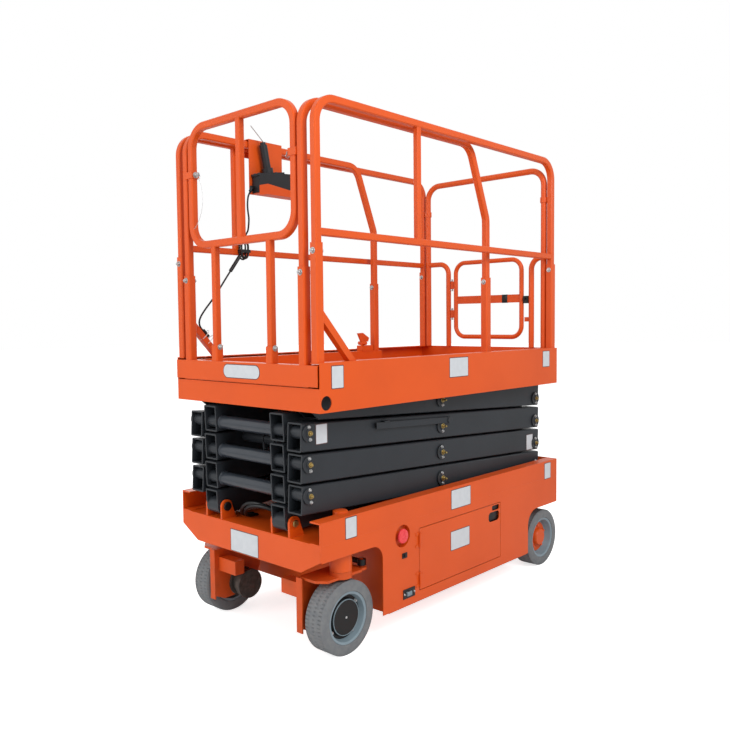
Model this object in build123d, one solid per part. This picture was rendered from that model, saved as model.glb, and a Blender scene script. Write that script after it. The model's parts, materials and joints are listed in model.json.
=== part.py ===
"""Self-propelled scissor lift, folded as it parks. Millimetres, +Z up, the steered wheels towards -Y.

The origin is on the ground at the middle of the machine's length and width. Stations along the
length are measured from the front edge of the platform deck and turned to Y by at().
"""
import math
import os

from build123d import *

# ---------------------------------------------------------------- overall
PANEL_PROUD = 8.0           # the extension panel stands this far in front of the deck
CHASSIS_FRONT = 2.0         # station
CHASSIS_LENGTH = 1761.0
LADDER_DEPTH = 79.0
OVERALL_LENGTH = PANEL_PROUD + CHASSIS_FRONT + CHASSIS_LENGTH + LADDER_DEPTH
DECK_FRONT = -OVERALL_LENGTH / 2 + PANEL_PROUD
CHASSIS_HALF = 444.5        # half the width over the side skirts
DECK_OVERHANG = 11.5        # the deck is this much wider than the chassis on each side
DECK_HALF = CHASSIS_HALF + DECK_OVERHANG
SIDES = {"left": 1, "right": -1}

# ---------------------------------------------------------------- fits
RUNNING_FIT = 0.05          # radial clearance of a pin in its bore
SEAT_GAP = 0.3              # clearance between curved faces that nearly touch
SIDE_GAP = 5.0              # clearance between neighbours that move apart
SHEET = 4.0                 # bent sheet of skirts, doors and deck walls
PLATE = 6.0                 # chassis plate
EAR_PLATE = 10.0            # clevis ears

# ---------------------------------------------------------------- wheels
TYRE_RADIUS = 147.5
TYRE_WIDTH = 100.0
TYRE_SHOULDER = 12.0
RIM_RADIUS = 104.0          # seat of the tyre on its rim
RIM_WELL = 92.0             # inside of the rim's barrel
WHEEL_INSET = 80.5          # chassis side to the tyre's middle
WHEEL_CENTRE_X = CHASSIS_HALF - WHEEL_INSET
FRONT_AXLE = 180.0          # station
WHEELBASE = 1492.0
AXLE_RADIUS = 20.0
HUB_RADIUS = 46.0
HUB_DISC_RADIUS = 68.0
TREAD_SIDES = 60            # the worn tread's flats
AXLE_PLATE = 8.0
AXLE_PLATE_X = WHEEL_CENTRE_X - TYRE_WIDTH / 2 - 14.0   # outer face of the rear axle plates

# ---------------------------------------------------------------- chassis
BASE_PIN_Z = 530.0          # lowest pins of the scissor stack and its rollers in the channels
ROLLER_RADIUS = 26.0
ROLLER_WIDTH = 36.0
CHANNEL_TOP = BASE_PIN_Z + ROLLER_RADIUS + 2.0 + PLATE
CHANNEL_BOTTOM = BASE_PIN_Z - 55.0
CHANNEL_FLANGE = 56.0
SKIRT_BOTTOM = 115.0
ARCH_REAR = 350.0           # station where the front wheel arch ends
BULKHEAD = 392.0            # station of the cross wall behind the front wheels
ARCH_TOP = 411.0
ARCH_RADIUS = 60.0
REAR_ARCH = 1470.0          # station where the rear wheel arch begins
REAR_BOX_BOTTOM = 332.0
REAR_ARCH_RADIUS = 80.0
BUMPER_BOTTOM = 357.0
BUMPER_SHOULDER = 417.0
BUMPER_FLAT_HALF = CHASSIS_HALF - 110.5
COMPARTMENT_DEPTH = 254.5
SPINE_HALF = CHASSIS_HALF - COMPARTMENT_DEPTH           # inner walls of the side compartments
DOOR_FRONT = 582.0          # station
DOOR_LENGTH = 633.0
DOOR_BOTTOM = 157.0
DOOR_TOP = 428.0
DOOR_GAP = 3.0
DOOR_RETURN = 18.0
SMALL_SLOT = (63.0, 25.0)   # lock slot in the door and the hand hole under it, length and height
HAND_HOLE = (92.0, 46.0)
SLOT_INSET = 9.0            # both slots end this far from the door's rear edge
HINGE_PIN_RADIUS = 3.0
HINGE_BARREL = 5.5
HINGE_LEAF = 2.5
HINGE_LENGTH = 40.0         # barrel on the door, between two short ones on the skirt
HINGE_FROM_EDGE = 50.0      # hinge middles from the door's top and bottom
STOP_STATION = 475.0
STOP_Z = 417.0
STOP_CUP_RADIUS = 47.0
STOP_CUP_DEPTH = 24.0
STOP_BUTTON_RADIUS = 30.0
SWITCH_STATION = 485.0
CHARGER_STATION = 512.0
BATTERY_DEPTH = 209.0
BATTERY_TOP = 380.0
BATTERY_STATIONS = (620.0, 1180.0)
TANK_STATIONS = (620.0, 900.0)
TANK_TOP = 370.0
PUMP_RADIUS = 62.0
PUMP_LENGTH = 180.0
VALVE_LENGTH = 60.0
LADDER_HALF = 190.0
LADDER_STILE = 8.0
LADDER_BOTTOM = 250.0
LADDER_TOP = CHANNEL_TOP - 24.0
LADDER_STEPS = (262.0, 420.0)

# ---------------------------------------------------------------- steering
KINGPIN_X = WHEEL_CENTRE_X + 8.0
KINGPIN_RADIUS = 20.0
KINGPIN_BOSS = 45.0
KINGPIN_BOTTOM = 334.0
KINGPIN_CAP = 31.0
STEER_ARM = 120.0           # kingpin to tie rod pin
STEER_PLATE_BOTTOM = 306.0
STEER_PLATE_TOP = 316.0
STEER_PIN_RADIUS = 8.0
TIE_ROD_RADIUS = 11.0
TIE_ROD_Z = 336.0
KNUCKLE_X = WHEEL_CENTRE_X - 98.0                       # inner face of the knuckle's upright plate
KNUCKLE_PLATE = 8.0
MOTOR_RADIUS = 64.0
MOTOR_LENGTH = 70.0
MOTOR_FACE_X = KNUCKLE_X - MOTOR_LENGTH
STEER_CYLINDER_RADIUS = 21.0
STEER_CYLINDER_Z = 384.0
STEER_ROD_RADIUS = 10.0
STEER_BARREL_OUTER = KINGPIN_X + 28.0
STEER_BARREL_LENGTH = 270.0

# ---------------------------------------------------------------- scissor stack
STAGES = 4
ARM_SPAN = 1657.4           # pin to pin
STAGE_RISE = 120.0          # height gained by one arm when folded
FRONT_PIN = 32.0            # station of the fixed pins at the front
ARM_WIDTH = 80.0
ARM_HEIGHT = STAGE_RISE - 10.0
ARM_WALL = 6.0
ARM_CORNER = 4.0
ARM_OVERHANG = 35.0         # tube past the end pins
ARM_BEVEL = 22.0            # corner off the arm ends that swing by the deck plates
FOOT_BEVEL = 52.0           # and off the first inner arms, where their feet take its place
DECK_END_REACH = 22.0       # last outer arms stop this far round their front pins, to swing behind the front strip
DECK_END_ANGLE = 54.0       # slope of their cut lower corner
PIN_OFFSET = 17.0           # end pins off the tube's middle line
INNER_ARM_X = CHASSIS_HALF - 229.5
OUTER_ARM_X = INNER_ARM_X + ARM_WIDTH + 20.0
PIN_RADIUS = 17.5
BOSS_RADIUS = 26.0
BOSS_PROUD = 2.0
CAP_RADIUS = 33.0
CAP_THICKNESS = 5.0
CROSS_TUBE_RADIUS = 27.0
EAR_RADIUS = 28.0
FOOT_LUG_RADIUS = 35.0      # solid foot under the first inner arms' front ends
LOWER_ROLLER_X = CHASSIS_HALF - PLATE - 8.5 - ROLLER_WIDTH / 2
UPPER_ROLLER_X = DECK_HALF - SHEET - 22.0 - ROLLER_WIDTH / 2
FOLDED_ANGLE = math.degrees(math.asin(STAGE_RISE / ARM_SPAN))
TUBE_ANGLE = FOLDED_ANGLE - math.degrees(math.asin(PIN_OFFSET / (ARM_SPAN / 2)))

# ---------------------------------------------------------------- lift cylinder
BASE_ALONG, BASE_ACROSS = 700.0, -35.0      # base pivot on the first inner arms, from their middle
ROD_ALONG, ROD_ACROSS = -700.0, -28.0       # rod pivot on the third inner arms
BARREL_RADIUS = 45.0
BARREL_BORE = 36.0
BARREL_LENGTH = 1190.0
ROD_RADIUS = 25.0
ROD_INSIDE = 420.0
EYE_RADIUS = 36.0
EYE_WIDTH = 60.0
GLAND_LENGTH = 50.0
PIVOT_TUBE_RADIUS = 24.0
BRACKET_OFFSET = 66.0       # rod pivot to the tube that carries its ears

# ---------------------------------------------------------------- platform
DECK_LENGTH = 1740.0
PLATFORM_PIN_Z = BASE_PIN_Z + STAGES * STAGE_RISE
DECK_BOTTOM = PLATFORM_PIN_Z - 36.0
DECK_TOP = DECK_BOTTOM + 186.0
DECK_FLANGE = 50.0
FLOOR_TOP = PLATFORM_PIN_Z + 50.0
FLOOR_SHEET = 4.0
FLOOR_RIB_HEIGHT = 12.0     # the last arms' cross tube runs under the ribs
FLOOR_RIBS = (260.0, 860.0, 1460.0)
FRONT_STRIP_TOP = FLOOR_TOP + 4.0
WEAR_STRIP_WIDTH = 30.0
WEAR_STRIP_STATIONS = (30.0, 900.0)
ACCESS_HOLE_RADIUS = 27.0
PANEL_HALF = DECK_HALF - 7.0
EXTENSION_FLOOR_Z = FRONT_STRIP_TOP + 3.0
PANEL_BOTTOM = EXTENSION_FLOOR_Z + 3.0
PANEL_TOP = PANEL_BOTTOM + 80.0
EXTENSION_BEAM_WIDTH = 46.0
EXTENSION_BEAM_X = DECK_HALF - DECK_FLANGE - 11.0 - EXTENSION_BEAM_WIDTH / 2
EXTENSION_LENGTH = 1250.0
EXTENSION_TRAVEL = 750.0

# ---------------------------------------------------------------- guard rails
RAIL = 30.0                 # square rail tube
RAIL_CORNER = 4.0
INFILL = 28.0               # square tube of mid rails and short posts
INFILL_CORNER = 3.5
STUB = 26.0                 # square tube of the short post between mid and top rail
BEND = 90.0                 # bend radius on the tube's middle line
SLEEVE = 38.0
SLEEVE_FIT = 0.5
BRACE_RUN = 173.0           # front post sleeve to the brace's foot, along the deck
BRACE_RISE = 191.0
MAIN_RAIL_X = DECK_HALF - 29.0
EXTENSION_RAIL_X = EXTENSION_BEAM_X - 7.0
TOP_RAIL_Z = DECK_TOP + 969.0
MID_RAIL_Z = DECK_TOP + 480.0
MAIN_SLEEVE_TOP = DECK_TOP + 440.0
EXTENSION_SLEEVE_TOP = PANEL_TOP + 365.0
POST_SETBACK = SLEEVE / 2
FRONT_FRAME_X = EXTENSION_RAIL_X - 39.0
FRONT_FRAME_Y = 12.0        # station
FRONT_POST_X = 176.0
FRONT_SLEEVE_TOP = PANEL_TOP + 66.0
EXTENSION_REAR_POST = 1208.0
EXTENSION_TOP_END = 1072.0
EXTENSION_SLOPE_END_Z = TOP_RAIL_Z - 333.0
LEFT_STUB = 608.0
RIGHT_STUB = 312.0
REAR_FRAME_X = MAIN_RAIL_X - 40.0
REAR_FRAME_TOP = TOP_RAIL_Z - 29.0
CLAMP_Z = TOP_RAIL_Z - 189.0
CLAMP_HEIGHT = 28.0
ROUND_RAIL = 32.0
LOWER_FRAME_RAIL = 29.0
GATE_RAIL = 25.0
RIGHT_LOWER_POST_X = 148.0 - REAR_FRAME_X
LEFT_LOWER_POST_X = REAR_FRAME_X - 74.0
GATE_HINGE_X = RIGHT_LOWER_POST_X + 25.0
GATE_LEFT_X = GATE_HINGE_X + 28.0
GATE_RIGHT_X = LEFT_LOWER_POST_X - 61.0
GATE_BOTTOM = DECK_TOP + 56.0
GATE_TOP = MID_RAIL_Z
GATE_BAR_Z = GATE_BOTTOM + 211.0
GATE_BAR_HEIGHT = 44.0
HINGE_HEIGHTS = (GATE_BOTTOM + 132.0, GATE_BOTTOM + 299.0)

# ---------------------------------------------------------------- platform controls and their cable
CONTROL_FRONT = 332.0       # stations
CONTROL_PLATE_REAR = 531.0
CONTROL_TRAY_REAR = 604.0
CONTROL_TRAY_Z = TOP_RAIL_Z - 229.0
CONTROL_BOX_WIDTH = 55.0
CONTROL_SHEET = 3.0
CONTROL_PLATE_X = -EXTENSION_RAIL_X + RAIL / 2 + 6.0    # outer face of the hung plate
GRIP_RADIUS = 18.0
CABLE_DIAMETER = 8.0
CABLE_X = CONTROL_PLATE_X + 14.0
HANK_X = -398.0

nodes = {}


def at(station):
    """Y of a station measured from the deck's front edge."""
    return DECK_FRONT + station


def block(x, y, z):
    """Box between two X, two Y and two Z values."""
    size = [high - low for low, high in (x, y, z)]
    middle = [(low + high) / 2 for low, high in (x, y, z)]
    return Pos(*middle) * Box(*size)


def bar_x(x0, x1, y, z, radius):
    """Round bar along X."""
    return Pos((x0 + x1) / 2, y, z) * Rot(0, 90, 0) * Cylinder(radius, abs(x1 - x0))


def bar_y(x, y0, y1, z, radius):
    """Round bar along Y."""
    return Pos(x, (y0 + y1) / 2, z) * Rot(90, 0, 0) * Cylinder(radius, abs(y1 - y0))


def bar_z(x, y, z0, z1, radius):
    """Round bar along Z."""
    return Pos(x, y, (z0 + z1) / 2) * Cylinder(radius, abs(z1 - z0))


def sheet_yz(face, x0, x1):
    """A flat face drawn in Y and Z, thickened from x0 to x1."""
    return extrude(Plane.YZ.offset(min(x0, x1)) * face, amount=abs(x1 - x0))


def sheet_xz(face, y0, y1):
    """A flat face drawn in X and Z, thickened from y0 to y1."""
    return extrude(Plane.XZ.offset(-max(y0, y1)) * face, amount=abs(y1 - y0))


def outline(*points):
    """Closed flat face through the given corners."""
    return make_face(Polyline(*points, close=True))


def square_section(size, corner):
    """Square tube's outside, its corners eased."""
    square = Rectangle(size, size)
    return chamfer(square.vertices(), corner)


def bent_tube(points, across, size, bend=BEND, corner=RAIL_CORNER):
    """Rail bent round the corners of points; across is the direction square to its plane."""
    section = square_section(size, corner) if corner else Circle(size / 2)
    if len(points) == 2:
        run = Vector(*points[1]) - Vector(*points[0])
        return extrude(Plane(origin=points[0], x_dir=across, z_dir=run) * section, amount=run.length)
    path = FilletPolyline(*points, radius=bend)
    start = Plane(origin=path @ 0, x_dir=across, z_dir=path % 0)
    return sweep(start * section, path=path)


def infill(start, end, across, size=INFILL):
    """Straight tube that ends inside the rails it joins."""
    return bent_tube([start, end], across, size, corner=INFILL_CORNER)


def ring_tube(x0, x1, y, z0, z1, size, bend, corner):
    """Rounded rectangular frame across the machine, bent from tube in two equal halves."""
    middle = (x0 + x1) / 2
    frame = None
    for x in (x0, x1):
        half = bent_tube([(middle, y, z0), (x, y, z0), (x, y, z1), (middle, y, z1)], (0, 1, 0), size, bend, corner)
        frame = half if frame is None else frame + half
    return frame


def square_sleeve(x, y, z0, z1):
    """Upright square sleeve that a rail post drops into."""
    inner = RAIL + 2 * SLEEVE_FIT
    shell = square_section(SLEEVE, RAIL_CORNER + 1) - square_section(inner, RAIL_CORNER)
    return Pos(x, y, z0) * extrude(shell, amount=z1 - z0)


# ---------------------------------------------------------------- scissor geometry
def arm_middle(stage):
    """Y and Z of a stage's centre pins."""
    half_run = ARM_SPAN / 2 * math.cos(math.radians(FOLDED_ANGLE))
    return at(FRONT_PIN) + half_run, BASE_PIN_Z + (stage - 0.5) * STAGE_RISE


def on_inner_arm(stage, along, across):
    """Y and Z of a point on an inner arm, along and across its line of pins."""
    middle_y, middle_z = arm_middle(stage)
    angle = math.radians(FOLDED_ANGLE)
    y = middle_y + along * math.cos(angle) - across * math.sin(angle)
    z = middle_z + along * math.sin(angle) + across * math.cos(angle)
    return y, z


FRONT_PIN_Y = at(FRONT_PIN)
REAR_PIN_Y = FRONT_PIN_Y + ARM_SPAN * math.cos(math.radians(FOLDED_ANGLE))


def pin_height(level):
    """Z of the end pins at a level, 0 on the chassis and 4 on the platform."""
    return BASE_PIN_Z + level * STAGE_RISE


def end_bevel(reach, end, level, size=ARM_BEVEL):
    """Wedge that takes the corner off an arm's end; end and level are 1 or -1 for Y and Z."""
    y, z = end * reach, level * ARM_HEIGHT / 2
    wedge = outline((y - end * size, z + level), (y + end, z + level), (y + end, z - level * size))
    return extrude(Plane.YZ.offset(-ARM_WIDTH) * wedge, amount=2 * ARM_WIDTH)


def deck_end_cut(pin_y):
    """What is cut from the front of a last outer arm, square before its pin and sloped below it."""
    lean = math.radians(DECK_END_ANGLE)
    turn_z = -DECK_END_REACH * (1 - math.cos(lean)) / math.sin(lean)
    low_z = -ARM_HEIGHT
    low_y = -(DECK_END_REACH + low_z * math.sin(lean)) / math.cos(lean)
    reach = 2 * ARM_HEIGHT
    cut = outline((-DECK_END_REACH, reach), (-DECK_END_REACH, turn_z), (low_y, low_z), (-reach, low_z), (-reach, reach))
    return extrude(Plane.YZ.offset(-ARM_WIDTH) * Pos(pin_y, PIN_OFFSET) * cut, amount=2 * ARM_WIDTH)


def arm_tube(stage, x, slope):
    """One hollow arm; slope is 1 for an inner arm that rises to the rear, -1 for an outer one."""
    length = 2 * math.sqrt((ARM_SPAN / 2) ** 2 - PIN_OFFSET ** 2) + 2 * ARM_OVERHANG
    outside = Rectangle(ARM_WIDTH, ARM_HEIGHT)
    outside = chamfer(outside.vertices(), ARM_CORNER)
    inside = Rectangle(ARM_WIDTH - 2 * ARM_WALL, ARM_HEIGHT - 2 * ARM_WALL)
    tube = extrude(Plane.XZ * (outside - inside), amount=length / 2, both=True)
    if stage == 1:
        tube -= end_bevel(length / 2, -slope, -1, FOOT_BEVEL if slope > 0 else ARM_BEVEL)
    if stage == STAGES:
        shortening = ARM_OVERHANG - DECK_END_REACH if slope < 0 else 0.0
        tube -= end_bevel(length / 2 - shortening, slope, 1)
        if slope < 0:
            tube -= deck_end_cut(ARM_OVERHANG - length / 2)
    middle_y, middle_z = arm_middle(stage)
    return Pos(x, middle_y, middle_z) * Rot(slope * TUBE_ANGLE, 0, 0) * tube


def pin_places(stage, slope):
    """Y and Z of an arm's front, centre and rear pins."""
    front_level, rear_level = (stage - 1, stage) if slope > 0 else (stage, stage - 1)
    return {"front": (FRONT_PIN_Y, pin_height(front_level)), "centre": arm_middle(stage),
            "rear": (REAR_PIN_Y, pin_height(rear_level))}


def inner_arms(stage):
    """Both inner arms of a stage with the cross tubes that join them."""
    half = ARM_WIDTH / 2 + BOSS_PROUD
    arms = None
    places = pin_places(stage, 1)
    for side in SIDES.values():
        arm = arm_tube(stage, side * INNER_ARM_X, 1)
        for y, z in places.values():
            arm += bar_x(side * INNER_ARM_X - half, side * INNER_ARM_X + half, y, z, BOSS_RADIUS)
        arms = arm if arms is None else arms + arm
    reach = INNER_ARM_X - ARM_WIDTH / 2
    for name, (y, z) in places.items():
        if name == "rear" or (name == "front" and stage > 1):
            arms += bar_x(-reach, reach, y, z, CROSS_TUBE_RADIUS)
    if stage == 1:
        y, z = on_inner_arm(1, BASE_ALONG, BASE_ACROSS)
        arms += bar_x(-reach - 1, reach + 1, y, z, PIVOT_TUBE_RADIUS)
        y, z = places["front"]
        for side in SIDES.values():
            arms += bar_x(side * (INNER_ARM_X - half + 3), side * (INNER_ARM_X + half - 3), y, z, FOOT_LUG_RADIUS)
    if stage == 3:
        arms += rod_bracket(reach)
    bore = PIN_RADIUS + RUNNING_FIT
    outer_reach = INNER_ARM_X + half + 1
    for y, z in places.values():
        for side in SIDES.values():
            inner_end = 0 if (y, z) != places["centre"] else reach - BOSS_PROUD - 1
            arms -= bar_x(side * inner_end, side * outer_reach, y, z, bore)
    return arms


def rod_bracket(reach):
    """Tube between the third inner arms with the two ears that take the cylinder's rod."""
    pin_y, pin_z = on_inner_arm(3, ROD_ALONG, ROD_ACROSS)
    tube_y, tube_z = on_inner_arm(3, ROD_ALONG, ROD_ACROSS + BRACKET_OFFSET)
    bracket = bar_x(-reach - 1, reach + 1, tube_y, tube_z, PIVOT_TUBE_RADIUS)
    inner = EYE_WIDTH / 2 + 1
    for side in SIDES.values():
        x0, x1 = side * inner, side * (inner + EAR_PLATE)
        ear = bar_x(x0, x1, pin_y, pin_z, PIVOT_TUBE_RADIUS)
        ear += bar_x(x0, x1, tube_y, tube_z, PIVOT_TUBE_RADIUS + 4)
        width = PIVOT_TUBE_RADIUS
        web = outline((tube_y - width, tube_z), (tube_y + width, tube_z),
                      (pin_y + width, pin_z), (pin_y - width, pin_z))
        bracket += ear + sheet_yz(web, x0, x1)
    return bracket


def outer_arms(stage):
    """Both outer arms of a stage with the pins fixed in them and the pins' bolted caps."""
    half = ARM_WIDTH / 2 + BOSS_PROUD
    arms = None
    for side in SIDES.values():
        arm = arm_tube(stage, side * OUTER_ARM_X, -1)
        outer_face = OUTER_ARM_X + half
        for name, (y, z) in pin_places(stage, -1).items():
            under_deck = name == "front" and stage == STAGES
            boss = DECK_END_REACH if under_deck else BOSS_RADIUS
            arm += bar_x(side * (OUTER_ARM_X - half), side * outer_face, y, z, boss)
            if not under_deck:
                arm += bar_x(side * outer_face, side * (outer_face + CAP_THICKNESS), y, z, CAP_RADIUS)
            if under_deck:
                x0, x1 = INNER_ARM_X + ARM_WIDTH / 2 + 4, outer_face + CAP_THICKNESS + EAR_PLATE + 4
            elif name == "rear" and stage == 1:
                x0, x1 = OUTER_ARM_X - half, LOWER_ROLLER_X - ROLLER_WIDTH / 2
            else:
                x0, x1 = INNER_ARM_X - ARM_WIDTH / 2 - BOSS_PROUD, outer_face
            arm += bar_x(side * x0, side * x1, y, z, PIN_RADIUS)
        arms = arm if arms is None else arms + arm
    return arms


def rollers(x, y, z, shaft_from):
    """Flanged rollers on their shafts, one a side."""
    pair = None
    for side in SIDES.values():
        near, far = x - ROLLER_WIDTH / 2, x + ROLLER_WIDTH / 2
        roller = bar_x(side * near, side * far, y, z, ROLLER_RADIUS)
        roller += bar_x(side * (near - 4), side * near, y, z, PIN_RADIUS + 4)
        if shaft_from is not None:
            roller += bar_x(side * shaft_from, side * near, y, z, PIN_RADIUS)
        else:
            roller -= bar_x(side * (near - 5), side * (near), y, z, PIN_RADIUS + RUNNING_FIT)
        pair = roller if pair is None else pair + roller
    return pair


for stage in range(1, STAGES + 1):
    nodes[f"inner_arms_{stage}"] = inner_arms(stage)
    nodes[f"outer_arms_{stage}"] = outer_arms(stage)
nodes["lower_rollers"] = rollers(LOWER_ROLLER_X, REAR_PIN_Y, pin_height(0), None)
nodes["upper_rollers"] = rollers(UPPER_ROLLER_X, REAR_PIN_Y, pin_height(STAGES),
                                 INNER_ARM_X - ARM_WIDTH / 2 - BOSS_PROUD)


def safety_prop():
    """Maintenance prop in its clip on the left outer arm of the third stage."""
    pivot_y, pivot_z = arm_middle(3)
    x0 = OUTER_ARM_X + ARM_WIDTH / 2
    slope = math.tan(math.radians(TUBE_ANGLE))
    start = 44.0
    length = 500.0
    lift = 26.0
    y1 = pivot_y + start
    y0 = y1 - length
    z1 = pivot_z - start * slope + lift
    z0 = z1 + length * slope
    half = 13.0
    strap = outline((y0, z0 - half), (y1, z1 - half), (y1, z1 + half), (y0, z0 + half))
    prop = sheet_yz(strap, x0 + 8, x0 + 16)
    prop += bar_x(x0, x0 + 20, y1, z1, 15.0)
    clip_y = y0 + 60
    clip_z = z1 + (length - 60) * slope
    prop += block((x0, x0 + 20), (clip_y - 15, clip_y + 15), (clip_z + half, clip_z + half + 5))
    prop += block((x0, x0 + 8), (clip_y - 15, clip_y + 15), (clip_z - half, clip_z + half))
    return prop


nodes["safety_prop"] = safety_prop()


# ---------------------------------------------------------------- lift cylinder
def lift_cylinder():
    """Barrel with its base eye, and rod with its end eye, lying folded in the stack."""
    base_y, base_z = on_inner_arm(1, BASE_ALONG, BASE_ACROSS)
    rod_y, rod_z = on_inner_arm(3, ROD_ALONG, ROD_ACROSS)
    closed = math.hypot(rod_y - base_y, rod_z - base_z)
    rise = math.degrees(math.asin((rod_z - base_z) / closed))
    place = Pos(0, base_y, base_z) * Rot(-rise, 0, 0)
    barrel = bar_y(0, -BARREL_LENGTH, -EYE_RADIUS, 0, BARREL_RADIUS)
    barrel += bar_x(-EYE_WIDTH / 2, EYE_WIDTH / 2, 0, 0, BARREL_RADIUS)
    barrel += bar_y(0, -BARREL_LENGTH, -BARREL_LENGTH + GLAND_LENGTH, 0, BARREL_RADIUS + 4)
    for port in (-90.0, -BARREL_LENGTH + 90.0):
        barrel += bar_z(0, port, 0, BARREL_RADIUS + 12, 11.0)
    barrel -= bar_y(0, -BARREL_LENGTH + GLAND_LENGTH, -EYE_RADIUS - 50, 0, BARREL_BORE)
    barrel -= bar_y(0, -BARREL_LENGTH - 1, -BARREL_LENGTH + GLAND_LENGTH, 0, ROD_RADIUS + RUNNING_FIT)
    barrel -= bar_x(-EYE_WIDTH, EYE_WIDTH, 0, 0, PIVOT_TUBE_RADIUS + RUNNING_FIT)
    rod = bar_y(0, -closed, -BARREL_LENGTH + ROD_INSIDE, 0, ROD_RADIUS)
    rod += bar_x(-EYE_WIDTH / 2, EYE_WIDTH / 2, -closed, 0, EYE_RADIUS)
    return place * barrel, place * rod


nodes["lift_barrel"], nodes["lift_rod"] = lift_cylinder()


# ---------------------------------------------------------------- chassis
CHASSIS_REAR = CHASSIS_FRONT + CHASSIS_LENGTH
DECK_PLATE_TOP = CHANNEL_BOTTOM + 3.0


def clevis_ears():
    """Ears and pins that carry the front ends of the first inner arms."""
    ears = None
    gap = 6.0
    for side in SIDES.values():
        inner_edge, outer_edge = INNER_ARM_X - ARM_WIDTH / 2, INNER_ARM_X + ARM_WIDTH / 2
        for x0, x1 in ((inner_edge - gap - EAR_PLATE, inner_edge - gap),
                       (outer_edge + gap, outer_edge + gap + EAR_PLATE)):
            y, z = FRONT_PIN_Y, BASE_PIN_Z
            foot = outline((at(CHASSIS_FRONT) + 3, DECK_PLATE_TOP - 1), (y + EAR_RADIUS + 20, DECK_PLATE_TOP - 1),
                           (y + EAR_RADIUS, z), (y - EAR_RADIUS, z))
            ear = sheet_yz(foot, side * x0, side * x1) + bar_x(side * x0, side * x1, y, z, EAR_RADIUS)
            ears = ear if ears is None else ears + ear
        pin_start, pin_end = inner_edge - gap - EAR_PLATE, outer_edge + gap + EAR_PLATE
        ears += bar_x(side * pin_start, side * pin_end, FRONT_PIN_Y, BASE_PIN_Z, PIN_RADIUS)
        ears += bar_x(side * pin_end, side * (pin_end + 3), FRONT_PIN_Y, BASE_PIN_Z, PIN_RADIUS + 3)
    return ears


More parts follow.
